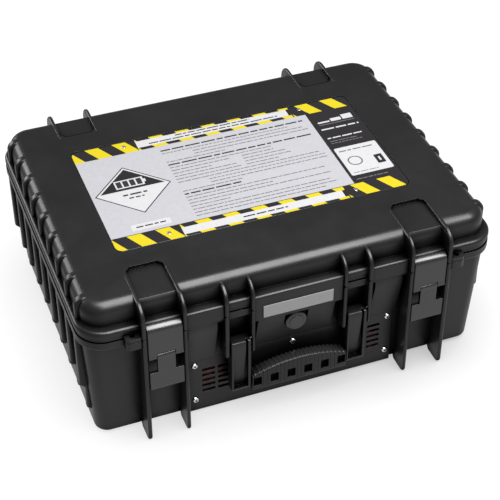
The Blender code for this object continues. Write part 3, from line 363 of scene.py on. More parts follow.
def painted_crevice_shade(tree):
    """Painted shade from ambient occlusion: 1 on open faces, falling to 0 in narrow gaps and inner corners.
    """
    open_sky = add(tree, "ShaderNodeAmbientOcclusion", Distance=0.020)
    open_sky.samples = 6
    stretch = add(tree, "ShaderNodeMapRange", From_Min=0.36, From_Max=0.88, To_Min=0.0, To_Max=1.0)
    tree.links.new(open_sky.outputs["AO"], stretch.inputs["Value"])
    return stretch.outputs["Result"]


def times(tree, value, factor):
    """The product of a value and a number or a second value."""
    node = tree.nodes.new("ShaderNodeMath")
    node.operation = "MULTIPLY"
    tree.links.new(value, node.inputs[0])
    if isinstance(factor, bpy.types.NodeSocket):
        tree.links.new(factor, node.inputs[1])
    else:
        node.inputs[1].default_value = factor
    return node.outputs["Value"]


def plastic(name, colour, roughness, grain=1400.0, depth=0.00006, edge=0.0007, specular=0.4, spread=0.25,
            floor=0.08):
    """Moulded plastic: fine grain, slow drifts of tone and gloss, softened edges, and painted shade in
    crevices that darkens the colour down to a floor, as a share of the colour, and dims the reflections
    there."""
    material, tree, shader = node_material(name, colour, roughness, specular=specular)
    place = object_coordinates(tree)
    slow = ramp(tree, noise(tree, place, scale=9.0, detail=3.0), 0.0, 1.0)
    dark = tuple(c * (1 - spread) for c in colour)
    light = tuple(c * (1 + spread) for c in colour)
    # Painted shade: ambient occlusion darkens the colour and the reflections in gaps and inner corners.
    painted_shade_mask = painted_crevice_shade(tree)
    shaded = tree.nodes.new("ShaderNodeMix")
    shaded.data_type = "RGBA"
    shaded.inputs["A"].default_value = (*(c * floor for c in colour), 1)
    tree.links.new(painted_shade_mask, shaded.inputs["Factor"])
    tree.links.new(tint(tree, slow, dark, light), shaded.inputs["B"])
    tree.links.new(shaded.outputs["Result"], shader.inputs["Base Color"])
    tree.links.new(times(tree, painted_shade_mask, specular), shader.inputs["Specular IOR Level"])
    smears = noise(tree, place, scale=38.0, detail=4.0)
    gloss = ramp(tree, smears, roughness * 0.9, roughness * 1.1)
    tree.links.new(gloss, shader.inputs["Roughness"])
    bump(tree, shader, noise(tree, place, grain, detail=1.5), 0.35, depth, edge)
    return material


def metal(name, colour, roughness, stretch=(1, 1, 1), grain=900.0, edge=0.0003):
    """Plated or cast metal with fine drawn or blasted marks."""
    material, tree, shader = node_material(name, colour, roughness, 1.0)
    place = object_coordinates(tree, stretch)
    marks = noise(tree, place, grain, detail=3.0)
    gloss = ramp(tree, marks, roughness * 0.75, roughness * 1.35)
    tree.links.new(gloss, shader.inputs["Roughness"])
    slow = ramp(tree, noise(tree, place, scale=60.0), 0.0, 1.0)
    tree.links.new(tint(tree, slow, tuple(c * 0.88 for c in colour), colour), shader.inputs["Base Color"])
    bump(tree, shader, marks, strength=0.2, distance=0.00003, edge=edge)
    return material


def film(name, colour, roughness=0.35):
    """Printing ink on film: a faint mottle and a slight orange peel."""
    material, tree, shader = node_material(name, colour, roughness)
    place = object_coordinates(tree)
    mottle = ramp(tree, noise(tree, place, scale=220.0, detail=4.0), 0.0, 1.0)
    tree.links.new(tint(tree, mottle, tuple(c * 0.94 for c in colour), colour), shader.inputs["Base Color"])
    bump(tree, shader, noise(tree, place, scale=420.0), strength=0.12, distance=0.00005)
    return material


def ink(name, colour):
    """A printing ink, toned down for the studio's strong light."""
    ink_share = 0.315
    return film(name, tuple(ink_share * c for c in colour), 0.33)


BLACK = plastic("case_plastic", (0.0052, 0.0052, 0.0057), 0.35)
SATIN = plastic("latch_plastic", (0.0085, 0.0085, 0.0090), 0.27, grain=2200.0, depth=0.00002, specular=0.75)
RUBBER = plastic("grip_rubber", (0.0095, 0.0095, 0.0100), 0.42, grain=1900.0, depth=0.00010, specular=0.3)
SEAL = plastic("seal_rubber", (0.035, 0.035, 0.036), 0.7, grain=900.0)
DECK = plastic("deck_plastic", (0.016, 0.016, 0.017), 0.42, grain=1100.0, depth=0.00009)
FAN = plastic("fan_plastic", (0.24, 0.014, 0.022), 0.3, grain=700.0, depth=0.00002, floor=1.0)
# Near-black for sheets laid in as painted shade: pocket rims, behind the grip's windows, screw crosses.
PAINTED_SHADE_BLACK = plastic("painted_shade_black", (0.0012, 0.0012, 0.0013), 0.6, specular=0.08)
CELL = plastic("cell_wrap", (0.03, 0.09, 0.25), 0.32, grain=300.0)
BOARD = plastic("solder_mask", (0.01, 0.12, 0.05), 0.35, grain=1500.0)
CABLE = plastic("cable_sheath", (0.42, 0.015, 0.015), 0.42)
ROCKER = plastic("rocker_red", (0.50, 0.015, 0.012), 0.25, grain=400.0, depth=0.00002)
SCREEN = plastic("screen_window", (0.006, 0.007, 0.008), 0.10, grain=200.0, depth=0.00001, specular=0.5)
GAUGE = plastic("gauge_green", (0.05, 0.42, 0.16), 0.4, grain=300.0, depth=0.00001)
ZINC = metal("zinc_plate", (0.86, 0.86, 0.88), 0.24)
ALLOY = metal("cast_alloy", (0.55, 0.56, 0.58), 0.42, grain=1500.0)
COPPER = metal("copper_bar", (0.80, 0.42, 0.28), 0.30, stretch=(0.1, 1, 1))
PLATE_GREY = film("name_plate_foil", (0.215, 0.215, 0.220), 0.42)
INK_BLACK = ink("ink_black", (0.024, 0.021, 0.024))
INK_WHITE = ink("ink_white", (1.02, 1.02, 1.05))
INK_FIELD = ink("ink_field", (0.82, 0.82, 0.87))
INK_YELLOW = ink("ink_yellow", (1.15, 0.93, 0.015))
INK_GREY = ink("ink_grey", (0.27, 0.27, 0.29))
INK_DARK = ink("ink_dark", (0.045, 0.045, 0.05))


# ---------------------------------------------------------------- the case's shells

def rib_places():
    """Where the side ribs stand along y."""
    return [RIB_PITCH * (i - (RIB_COUNT - 1) / 2) for i in range(RIB_COUNT)]


def rib(side, y, profile):
    """An upright rib on a side wall, from its outline in (|x|, z)."""
    outline = [(side * x, z) for x, z in profile]
    return sheet(outline, "xz", -y - RIB_W / 2, -y + RIB_W / 2, edge=RIB_ROUND, edge_steps=RIB_ROUND_STEPS)


def lid_rib_profile():
    centre = (LID_RIB_X - LID_RIB_CURVE_R, LID_RIB_TOP_Z - LID_RIB_CURVE_R)
    foot = [(LID_RIB_ROOT_X, LID_RIB_LOW_Z), (LID_RIB_X, LID_RIB_LOW_Z)]
    return foot + arc(centre, LID_RIB_CURVE_R, 0, 90, 8) + [(LID_RIB_ROOT_X, LID_RIB_TOP_Z)]


def base_rib_profile():
    """Two levels: a block as proud as the rim, and a lower, shallower rib, each with a sloped end."""
    step = BASE_RIB_X - BASE_RIB_LOW_X
    return [(BASE_RIB_ROOT_X, BASE_RIB_TOP_Z), (BASE_RIB_X, BASE_RIB_TOP_Z),
            (BASE_RIB_X, BASE_RIB_STEP_Z + step), (BASE_RIB_LOW_X, BASE_RIB_STEP_Z),
            (BASE_RIB_LOW_X, BASE_RIB_LOW_Z + BASE_RIB_SLOPE), (BASE_RIB_ROOT_X, BASE_RIB_LOW_Z)]


def fin(outline, x):
    """A fin from its outline in (y, z), across the interval x, with its edges taken off."""
    return sheet(outline, "yz", x[0], x[1], edge=FIN_ROUND, edge_steps=1)


def lid_latch_fin(x, front):
    """A fin flush with the lid's top and rounded over to an upright face; the rear ones end in an eye."""
    way = -1 if front else 1
    centre = (LATCH_FIN_Y - FIN_CURVE_R, TOP_Z - FIN_CURVE_R)
    curve = [(way * y, z) for y, z in arc(centre, FIN_CURVE_R, 90, 0, ROUND_STEPS)]
    if front:
        foot = [(-LATCH_FIN_Y, LID_FOOT_Z)]
    else:
        foot = arc((HINGE_Y, SEAM_Z), HINGE_R, 0, -140, 6) + [(0.1915, LID_FOOT_Z)]
    root = [(way * FIN_ROOT_Y, LID_FOOT_Z), (way * FIN_ROOT_Y, LID_FIN_ROOT_Z)]
    tail = [(way * FIN_TAIL_Y, LID_FIN_TAIL_Z), (way * FIN_TAIL_Y, TOP_Z)]
    return fin(curve + foot + root + tail, x)


def lid_handle_fin(x):
    root_y = -0.1780
    curve = arc((-HANDLE_FIN_Y + FIN_CURVE_R, HANDLE_FIN_CURVE_Z), FIN_CURVE_R, 90, 180, ROUND_STEPS)
    foot = [(-HANDLE_FIN_Y, LID_FOOT_Z), (root_y, LID_FOOT_Z)]
    return fin(curve + foot + [(root_y, HANDLE_FIN_CURVE_Z + FIN_CURVE_R)], x)


def skirt(xs, low_z):
    """An apron that hangs from the lid's flange in front of the base's rim."""
    back, hung = -SKIRT_BACK_Y, -(FLANGE_Y + SKIRT_GAP)
    top_z = FLANGE_TOP_Z + SKIRT_GAP
    top = arc((-SKIRT_Y + SKIRT_R, top_z - SKIRT_R), SKIRT_R, 90, 180, 3)
    outline = top + [(-SKIRT_Y, low_z), (hung, low_z), (hung, LID_FOOT_Z), (back, LID_FOOT_Z), (back, top_z)]
    return sheet(outline, "yz", xs[0], xs[1])


def padlock_tab(side, low_z, high_z):
    return mirrored_box(side, PADLOCK_X, PADLOCK_Y, (low_z, high_z), corner=0.0060, corner_steps=3)


def padlock_hole(side):
    return cylinder(2, PADLOCK_HOLE_R, 0.1450, PAST_RIM_Z, (side * PADLOCK_HOLE_X, PADLOCK_HOLE_Y), 12)


def pin_bore(side, pin_radius, xs, line):
    """A running hole for a pin that lies along x; line is the pin's place in (y, z)."""
    return cylinder(0, pin_radius + GAP, *span(side, *xs), line, BORE_STEPS)


def lid_knuckle(xs):
    """The lid's part of the hinge: an eye about the pin with a web up to the flange."""
    eye = arc((HINGE_Y, SEAM_Z), HINGE_R - 0.0008, 90, -150, 7)
    outline = eye + [(0.1930, SEAM_Z + 0.0010), (0.1890, 0.1680), (0.1950, 0.1700)]
    return sheet(outline, "yz", xs[0], xs[1])


def pocket(side, way, inner):
    """The sunk panel in the lid's top behind each pair of latch or hinge fins, its inner corners cut off."""
    near, far = LATCH_FINS[0][1] - GAP, LATCH_FINS[1][0] + GAP
    cut, outer = POCKET_CHAMFER, 0.2300
    outline = [(near, outer), (near, inner + cut), (near + cut, inner), (far - cut, inner),
               (far, inner + cut), (far, outer)]
    outline = [(side * x, way * y) for x, y in outline]
    return sheet(outline, "xy", LID_TOP_Z - POCKET_DEPTH, PAST_TOP_Z)


def lid_piece():
    body = mid_slab(LID_X, LID_Y, LID_FOOT_Z, LID_TOP_Z, corner=LID_R, top=LID_EDGE_R,
                    corner_steps=SHELL_CORNER_STEPS, edge_steps=10)
    adds = [
        mid_slab(FLANGE_X, FLANGE_Y, 0.1655, FLANGE_TOP_Z, corner=FLANGE_R, top=0.0040, bottom=0.0014,
                 corner_steps=SHELL_CORNER_STEPS, edge_steps=5),
        mid_slab(FLANGE_X - LIP_INSET, FLANGE_Y - LIP_INSET, LID_FOOT_Z + FLANGE_STEP, LIP_TOP_Z,
                 corner=FLANGE_R - LIP_INSET, corner_steps=SHELL_CORNER_STEPS - 1),
        skirt((SKIRT_GAP - HANDLE_FINS[0][0], HANDLE_FINS[0][0] - SKIRT_GAP), SKIRT_CENTRE_Z),
    ]
    cuts = [
        mid_slab(LID_HOLLOW_X, LID_HOLLOW_Y, UNDER_RIM_Z, LID_TOP_Z - LID_ROOF, corner=LID_HOLLOW_R,
                 top=0.0080, corner_steps=8, edge_steps=5),
        slab((-LABEL_X - 2 * GAP, LABEL_FRONT_Y - 2 * GAP, LABEL_RECESS_Z),
             (LABEL_X + 2 * GAP, LABEL_BACK_Y + 2 * GAP, PAST_TOP_Z), corner=LABEL_R, corner_steps=10),
    ]
    cuts += [cylinder(2, RIVET_HOLE_R, RIVET_HOLE_Z, PAST_TOP_Z, spot, 16) for spot in RIVET_SPOTS]
    for side in SIDES:
        adds += [rib(side, y, lid_rib_profile()) for y in rib_places()]
        adds += [lid_latch_fin(span(side, *x), front) for x in LATCH_FINS for front in (True, False)]
        adds += [lid_handle_fin(span(side, *x)) for x in HANDLE_FINS]
        apron_x = (HANDLE_FINS[1][1] + SKIRT_GAP, LATCH_FINS[0][0] - SKIRT_GAP)
        adds.append(skirt(span(side, *apron_x), SKIRT_SIDE_Z))
        adds.append(padlock_tab(side, LID_FOOT_Z, 0.1645))
        for low, high in ((LATCH_FINS[0][0] + 0.0020, 0.1472), (0.1778, LATCH_FINS[1][1] - 0.0020)):
            adds.append(lid_knuckle(span(side, low, high)))
        cuts += [pocket(side, -1, POCKET_FRONT_Y), pocket(side, 1, POCKET_BACK_Y)]
        knuckle_room = mirrored_box(side, (0.1474, 0.1776), (0.1926, PAST_BACK_Y), (UNDER_RIM_Z, 0.1800))
        cuts += [knuckle_room, pin_bore(side, HINGE_PIN_R, HINGE_BORE_X, (HINGE_Y, SEAM_Z)),
                 padlock_hole(side)]
    return carved("lid", body, adds, cuts)


def base_latch_fin(x):
    """Front fin: an upright face down to a rounded toe, and a flat foot on the ground."""
    toe = arc((-LATCH_FIN_Y + TOE_R, TOE_R), TOE_R, 180, 270, 4)
    heel = [(-0.1800, 0.0), (-FIN_ROOT_Y, TOE_R)]
    return fin([(-FIN_ROOT_Y, RIM_Z), (-LATCH_FIN_Y, RIM_Z)] + toe + heel, x)


def rear_fin(x):
    """Rear fin: a foot as deep as the front one, sloped off under the hinge."""
    toe = arc((LATCH_FIN_Y - TOE_R, TOE_R), TOE_R, 0, -90, 4)
    slope = [(FIN_ROOT_Y, 0.1490), (0.1900, 0.1490), (LATCH_FIN_Y, 0.1360)]
    return fin(slope + toe + [(0.1800, 0.0), (FIN_ROOT_Y, TOE_R)], x)


def base_handle_fin(x):
    root_y = -0.1760
    tip = arc((-HANDLE_FIN_Y + TOE_R, HANDLE_FIN_TIP_Z + TOE_R), TOE_R, 180, 270, 4)
    heel = [(-0.1820, HANDLE_FIN_TIP_Z), (root_y, 0.0920)]
    return fin([(root_y, RIM_Z), (-HANDLE_FIN_Y, RIM_Z)] + tip + heel, x)


def front_panel(x):
    """A wedge that carries the front face out from the vent plate's top to the rim."""
    low = PLATE_TOP_Z + GAP
    outline = [(-PANEL_ROOT_Y, low), (-PLATE_OUT_Y, low), (-PANEL_BEND_Y, PANEL_BEND_Z),
               (-PANEL_BEND_Y, PANEL_TOP_Z), (-PANEL_ROOT_Y, PANEL_TOP_Z)]
    return sheet(outline, "yz", x[0], x[1])


def base_knuckle(xs):
    """The base's part of the hinge: an eye about the pin with a web into the rim."""
    eye = arc((HINGE_Y, SEAM_Z), HINGE_R, 130, -90, 9)
    outline = eye + [(0.1900, 0.1485), (0.1880, 0.1560), (0.1922, 0.1590)]
    return sheet(outline, "yz", xs[0], xs[1])


def rounded(half_x, half_y, radius, steps):
    """A rounded rectangle about the origin, as an outline in (x, y)."""
    x, y = half_x - radius, half_y - radius
    corners = ((x, y), (-x, y), (-x, -y), (x, -y))
    return [p for turn, c in enumerate(corners) for p in arc(c, radius, 90 * turn, 90 * turn + 90, steps)]


def frame_ring(outer, inner, low_z, high_z):
    """A flat ring between two rounded rectangles, each (half x, half y, corner radius)."""
    return sheet(rounded(*outer, 10), "xy", low_z, high_z, hole=rounded(*inner, 10))


def base_piece():
    body = mid_slab(BASE_X, BASE_Y, BASE_Z, RIM_Z, corner=BASE_R, bottom=BASE_EDGE_R,
                    corner_steps=SHELL_CORNER_STEPS, edge_steps=6)
    floor = [vert for vert in body.verts if vert.co.z < RIM_Z / 2]
    bmesh.ops.scale(body, vec=(BASE_LOW_X / BASE_X, BASE_LOW_Y / BASE_Y, 1), verts=floor)
    adds = [
        mid_slab(FLANGE_X, FLANGE_Y, FLANGE_LOW_Z, RIM_Z - FLANGE_STEP, corner=FLANGE_R, bottom=0.0030,
                 corner_steps=SHELL_CORNER_STEPS, edge_steps=4),
        front_panel((-PANEL_CENTRE_X, PANEL_CENTRE_X)),
    ]
    cuts = [
        mid_slab(CAVITY_X, CAVITY_Y, CAVITY_Z, PAST_RIM_Z, corner=CAVITY_R, bottom=0.0040, corner_steps=8,
                 edge_steps=3),
        frame_ring(SEAL_OUTER, SEAL_INNER, SEAL_FLOOR_Z, PAST_RIM_Z),
        cylinder(1, VALVE_BORE_R, -0.2050, -0.1650, (0.0, VALVE_Z), 32),
        slab((-VALVE_RECESS, -0.2000, VALVE_Z - VALVE_RECESS),
             (VALVE_RECESS, VALVE_RECESS_Y, VALVE_Z + VALVE_RECESS)),
        slab((-PLATE_X - GAP, PAST_FRONT_Y, UNDER_GROUND_Z),
             (PLATE_X + GAP, GAP - PLATE_IN_Y, PLATE_TOP_Z + GAP)),
    ]
    cuts += [cylinder(1, SCREW_HOLE_R, *FRONT_WALL_Y, spot, 16) for spot in SCREW_SPOTS]
    for side in SIDES:
        adds += [rib(side, y, base_rib_profile()) for y in rib_places()]
        for x in LATCH_FINS:
            adds += [base_latch_fin(span(side, *x)), rear_fin(span(side, *x))]
        adds += [base_handle_fin(span(side, *x)) for x in HANDLE_FINS]
        adds.append(front_panel(span(side, *PANEL_SIDE_X)))
        adds.append(padlock_tab(side, 0.1490, RIM_Z))
        adds.append(base_knuckle(span(side, *HINGE_KNUCKLE_X)))
        for low, high in ((0.1360, HINGE_KNUCKLE_X[0] - GAP), (HINGE_KNUCKLE_X[1] + GAP, 0.1896)):
            cuts.append(mirrored_box(side, (low, high), (HINGE_CUT_Y, PAST_BACK_Y), (0.1525, PAST_RIM_Z)))
        cuts += [pin_bore(side, HINGE_PIN_R, HINGE_BORE_X, (HINGE_Y, SEAM_Z)),
                 pin_bore(side, PIN_R, LEVER_BORE_X, LEVER_PIVOT),
                 pin_bore(side, HANDLE_PIN_R, HANDLE_BORE_X, HANDLE_PIVOT),
                 padlock_hole(side), mirrored_box(side, FAN_PORT_X, FRONT_WALL_Y, FAN_PORT_Z)]
    return carved("base", body, adds, cuts)


# ---------------------------------------------------------------- the label's print

def clip(points, fence):
    """The part of a polygon inside a convex, anticlockwise fence."""
    for a, b in zip(fence, fence[1:] + fence[:1]):
        def depth(p):
            return (b[0] - a[0]) * (p[1] - a[1]) - (b[1] - a[1]) * (p[0] - a[0])
        kept = []
        for p, q in zip(points, points[1:] + points[:1]):
            dp, dq = depth(p), depth(q)
            if dp >= 0:
                kept.append(p)
            if dp * dq < 0:
                share = dp / (dp - dq)
                kept.append((p[0] + share * (q[0] - p[0]), p[1] + share * (q[1] - p[1])))
        points = kept
        if len(points) < 3:
            return []
    return points


def rectangle(x0, y0, x1, y1):
    return [(x0, y0), (x1, y0), (x1, y1), (x0, y1)]


class Print:
    """Patches of ink on a flat film, in layers a few hundredths of a millimetre thick."""

    def __init__(self, name, z, fence):
        self.name, self.z, self.fence = name, z, fence
        self.bm = bmesh.new()
        self.materials = []

    def patch(self, points, material, layer=1, fence=None):
        """A filled outline, kept inside its own fence and the label's; higher layers lie over lower ones."""
        for limit in (fence, self.fence):
            points = clip(points, limit) if limit else points
            if len(points) < 3:
                return
        tidy = [p for i, p in enumerate(points) if math.dist(p, points[i - 1]) > 2e-5]
        if len(tidy) < 3:
            return
        if material not in self.materials:
            self.materials.append(material)
        low, high = self.z - 0.00005, self.z + PRINT_RISE * layer
        rings = [[self.bm.verts.new((x, y, z)) for x, y in tidy] for z in (low, high)]
        faces = [self.bm.faces.new(list(reversed(rings[0]))), self.bm.faces.new(rings[1])]
        for i in range(len(tidy)):
            j = (i + 1) % len(tidy)
            faces.append(self.bm.faces.new((rings[0][i], rings[0][j], rings[1][j], rings[1][i])))
        for face in faces:
            face.material_index = self.materials.index(material)

    def stripes(self, x0, y0, x1, y1, phase, material, layer=2):
        """Leaning stripes, one period apart along x, inside a rectangle."""
        band = rectangle(x0, y0, x1, y1)
        lean = STRIPE_LEAN * (y1 - y0)
        half = STRIPE_PERIOD / 2
        for i in range(-2, int((x1 - x0) / STRIPE_PERIOD) + 3):
            x = x0 + phase + i * STRIPE_PERIOD
            slant = [(x + lean, y0), (x + lean + half, y0), (x + half, y1), (x, y1)]
            self.patch(slant, material, layer, band)

    def words(self, x0, x1, y, height, material, layer=3, seed=0):
        """A line of greeked text: plain bars of word lengths with gaps, and no letters."""
        shortest, step, gap = 2.2, 0.55, 0.9  # in letter heights
        x, number = x0, seed
        while x < x1:
            number = (number * 7 + 5) % 11
            length = height * (shortest + step * number)
            self.patch(rectangle(x, y - height / 2, min(x + length, x1), y + height / 2), material, layer)
            x += length + height * gap

    def piece(self):
        obj = mesh_object(self.name, self.bm)
        for material in self.materials:
            obj.data.materials.append(material)
        return obj


def rounded_fence(x0, y0, x1, y1, radius, steps=6):
    centre = ((x0 + x1) / 2, (y0 + y1) / 2)
    outline = rounded((x1 - x0) / 2, (y1 - y0) / 2, radius, steps)
    return [(centre[0] + x, centre[1] + y) for x, y in outline]


def diamond(centre, half):
    x, y = centre
    return [(x, y - half), (x + half, y), (x, y + half), (x - half, y)]


def print_label():
    """The label: a pale field between two striped bands, a sign, a block of text and a dark end panel."""
    left, right, front, back = -LABEL_X, LABEL_X, LABEL_FRONT_Y, LABEL_BACK_Y
    margin, band, panel_x = 0.0004, 0.0235, 0.1205
    fence = rounded_fence(left + margin, front + margin, right - margin, back - margin, LABEL_R)
    art = Print("label_ink", label_high.z, fence)
    art.patch(rectangle(left, front + band + 0.0010, panel_x, back - band), INK_FIELD, 1)
    striped_band(art, back - band, back, 0.0055, at_back=True)
    striped_band(art, front, front + band, 0.0065, at_back=False)
    pictogram(art)
    text_block(art, (-0.0775, 0.1120), back)
    side_panel(art, panel_x, right)
    return art.piece()


def striped_band(art, y0, y1, row, at_back):
    """Full-height stripes at either end; between them two thin rows of stripes about a white strip.
    The row on the label's inner side has the given height."""
    left, right, phase, edge_row = -LABEL_X, LABEL_X, 0.0180, 0.0042
    strip_x = (-0.1015, 0.1005)
    art.stripes(left, y0, strip_x[0] - 0.0010, y1, phase - STRIPE_PERIOD, INK_YELLOW)
    art.stripes(0.1060, y0, right - 0.0030, y1, 0.0080, INK_YELLOW)
    inner = (y0, y0 + row) if at_back else (y1 - row, y1)
    outer = (y1 - edge_row, y1) if at_back else (y0, y0 + edge_row)
    for low, high in (inner, outer):
        art.stripes(strip_x[0], low, strip_x[1] + 0.0040, high, phase, INK_YELLOW)
    strip = (inner[1], outer[0]) if at_back else (outer[1], inner[0])
    art.patch(rectangle(strip_x[0], strip[0], strip_x[1], strip[1]), INK_WHITE, 3)
    middle = sum(strip) / 2
    if at_back:
        art.words(-0.0500, 0.0500, middle + 0.0032, 0.0020, INK_DARK, 4, 3)
        art.words(-0.0860, 0.0860, middle - 0.0026, 0.0020, INK_DARK, 4, 5)
    else:
        art.words(-0.0270, 0.0290, middle, 0.0022, INK_DARK, 4, 2)


def pictogram(art):
    """A plain battery sign in a diamond frame."""
    x, y, half = -0.1320, 0.0075, 0.0475
    upper_half = rectangle(x - half, y + 0.0020, x + half, y + half)
    art.patch(diamond((x, y), half), INK_BLACK, 2)
    art.patch(diamond((x, y), half - 0.0020), INK_WHITE, 3)
    art.patch(diamond((x, y), half - 0.0052), INK_BLACK, 4, upper_half)
    art.patch(rectangle(x - 0.0190, y + 0.0060, x + 0.0170, y + 0.0220), INK_WHITE, 5)
    art.patch(rectangle(x + 0.0170, y + 0.0110, x + 0.0195, y + 0.0170), INK_WHITE, 5)
    for i in range(4):
        left = x - 0.0170 + i * 0.0084
        art.patch(rectangle(left, y + 0.0080, left + 0.0064, y + 0.0200), INK_DARK, 6)
    art.words(x - 0.0150, x + 0.0150, y - 0.0080, 0.0028, INK_DARK, 5, 4)
    art.words(x - 0.0095, x + 0.0095, y - 0.0150, 0.0022, INK_DARK, 5, 1)
    art.patch(rectangle(x - 0.0240, -0.0690, x + 0.0240, -0.0580), INK_WHITE, 3)
    art.words(x - 0.0180, x + 0.0180, -0.0635, 0.0022, INK_DARK, 4, 6)


TEXT_LINES = (  # (line number from the back, heavy print, start, end) as shares of the block's width
    (0, True, 0, 1), (1, False, 0, 0.88), (2, False, 0.2, 0.97), (3, False, 0.2, 1),
    (4, False, 0, 0.40), (5, True, 0, 1), (6, False, 0, 0.70), (7, False, 0, 0.40),
    (7, False, 0.48, 0.70), (8, False, 0, 0.26), (8, False, 0.48, 0.77), (9, False, 0, 0.42),
    (9, False, 0.48, 0.80), (10, False, 0, 0.44), (10, False, 0.48, 0.70), (11, False, 0, 0.97),
    (12, False, 0.2, 1), (13, False, 0.2, 1), (14, False, 0, 0.40), (15, True, 0, 0.38),
    (16, False, 0, 0.94), (17, False, 0, 0.57), (18, False, 0, 0.96), (19, False, 0, 0.26),
    (20, False, 0, 0.93), (21, False, 0, 0.96), (22, False, 0, 0.87),
)


def text_block(art, xs, back):
    """Lines of greeked text across the interval xs."""
    width, first, pitch = xs[1] - xs[0], back - 0.0345, 0.00625
    for number, heavy, start, end in TEXT_LINES:
        height, tone = (0.0025, INK_DARK) if heavy else (0.0014, INK_GREY)
        art.words(xs[0] + start * width, xs[0] + end * width, first - number * pitch, height, tone, 3, number)


def side_panel(art, left, right):
    """The dark panel at the label's right end: three rising bars, text, and a white inset with a plain
    ring and a plain black block."""
    middle = (left + right) / 2
    for i, (start, end) in enumerate(((-0.024, -0.008), (-0.006, 0.008), (0.010, 0.024))):
        art.patch(rectangle(middle + start, 0.0560, middle + end, 0.0590 + 0.0035 * i), INK_WHITE, 3)
    art.patch(rectangle(middle - 0.0240, 0.0515, middle + 0.0240, 0.0527), INK_GREY, 3)
    for start, end, y, height, tone, seed in (
            (-0.0255, 0.0255, 0.0420, 0.0026, INK_WHITE, 2), (-0.0255, 0.0210, 0.0220, 0.0022, INK_WHITE, 4),
            (-0.0250, 0.0120, 0.0150, 0.0013, INK_GREY, 7), (-0.0250, 0.0170, 0.0105, 0.0013, INK_GREY, 1)):
        art.words(middle + start, middle + end, y, height, tone, 3, seed)
    inset = rounded_fence(left + 0.0040, -0.0600, right - 0.0035, -0.0010, 0.0025)
    art.patch(inset, INK_WHITE, 3)
    art.words(left + 0.0080, right - 0.0100, -0.0090, 0.0022, INK_GREY, 4, 3)
    art.patch(rectangle(right - 0.0185, -0.0470, right - 0.0080, -0.0290), INK_BLACK, 4)
    art.patch(rectangle(right - 0.0145, -0.0420, right - 0.0120, -0.0340), INK_WHITE, 5)
    ring = rounded(0.0095, 0.0095, 0.0094, 8)
    for share, tone, layer in ((1.0, INK_GREY, 4), (0.8, INK_WHITE, 5)):
        art.patch([(left + 0.0200 + share * x, -0.0320 + share * y) for x, y in ring], tone, layer)
    art.words(left + 0.0080, right - 0.0220, -0.0550, 0.0013, INK_GREY, 4, 5)
    art.words(left + 0.0060, right - 0.0160, -0.0680, 0.0014, INK_GREY, 3, 8)


# ---------------------------------------------------------------- dressing

def dress(node, material, edge):
    """A CAD node kept as it is, with its material set and, if edge isn't 0, its edges softened."""
    obj = NODES[node]
    cover(obj, material)
    obj.modifiers.new("weld", "WELD").merge_threshold = 0.00001
    if edge:
        soft = obj.modifiers.new("edges", "BEVEL")
        soft.width, soft.segments = edge, 2
        soft.limit_method, soft.angle_limit = "ANGLE", SOFT_ANGLE
    shade(obj)


def dress_frame():
    """Every CAD node gets its material and edge radius; screws, pins and rivets are zinc."""
    looks = {
        "valve_knob": (SATIN, 0.0003), "vent_plate": (BLACK, 0.0006), "name_plate": (PLATE_GREY, 0.0002),
        "lid_label": (INK_BLACK, 0.0), "handle_frame": (BLACK, 0.0004), "handle_grip": (RUBBER, 0.0004),
        "base_seal": (SEAL, 0.0006), "control_deck": (DECK, 0.0004), "usb_block": (DECK, 0.0003),
        "charge_inlet": (DECK, 0.0003), "switch_frame": (DECK, 0.0003), "switch_rocker": (ROCKER, 0.0004),
        "display": (SCREEN, 0.0003), "display_button": (ZINC, 0.0002), "valve_stem": (ZINC, 0.0002),
        "inverter": (ALLOY, 0.0004), "bus_bar": (COPPER, 0.0003), "battery_board": (BOARD, 0.0003),
        "lid_shell": (BLACK, 0.0), "base_shell": (BLACK, 0.0),
    }
    for word in ("left", "right"):
        looks |= {f"latch_lever_{word}": (SATIN, 0.0004), f"latch_hook_{word}": (SATIN, 0.0004),
                  f"ac_outlet_{word}": (DECK, 0.0004), f"battery_module_{word}": (CELL, 0.0006),
                  f"fan_frame_{word}": (FAN, 0.0003), f"fan_rotor_{word}": (FAN, 0.0002),
                  f"battery_lead_{word}": (CABLE, 0.0)}
    for node in sorted(NODES):
        material, edge = looks.get(node, (ZINC, 0.0002))
        dress(node, material, edge)


def trim(name, shapes, material, body):
    """Small visual parts in one mesh that rides a CAD body."""
    whole = bmesh.new()
    for bm in shapes:
        mesh = bpy.data.meshes.new(name)
        bm.to_mesh(mesh)
        bm.free()
        whole.from_mesh(mesh)
        bpy.data.meshes.remove(mesh)
    finish_piece(mesh_object(name, whole), body, material)


def grip_rib(x, low_z):
    """A raised rib over the grip's arch, carried down its front to the given height."""
    rise = grip_high.z - GRIP_END_Z
    radius = (grip_high.x ** 2 + rise ** 2) / (2 * rise)
    top = grip_high.z - radius + math.sqrt(radius ** 2 - x ** 2) + GRIP_RIB_RISE
    front = grip_low.y - GRIP_RIB_RISE
    back = grip_high.y - 0.0010
    over = arc((front + GRIP_RIB_R, top - GRIP_RIB_R), GRIP_RIB_R, 90, 180, 4)
    outline = [(back, top)] + over + [(front, low_z), (back, low_z)]
    return sheet(outline, "yz", x - GRIP_RIB_HALF_W, x + GRIP_RIB_HALF_W, edge=0.0004, edge_steps=1)


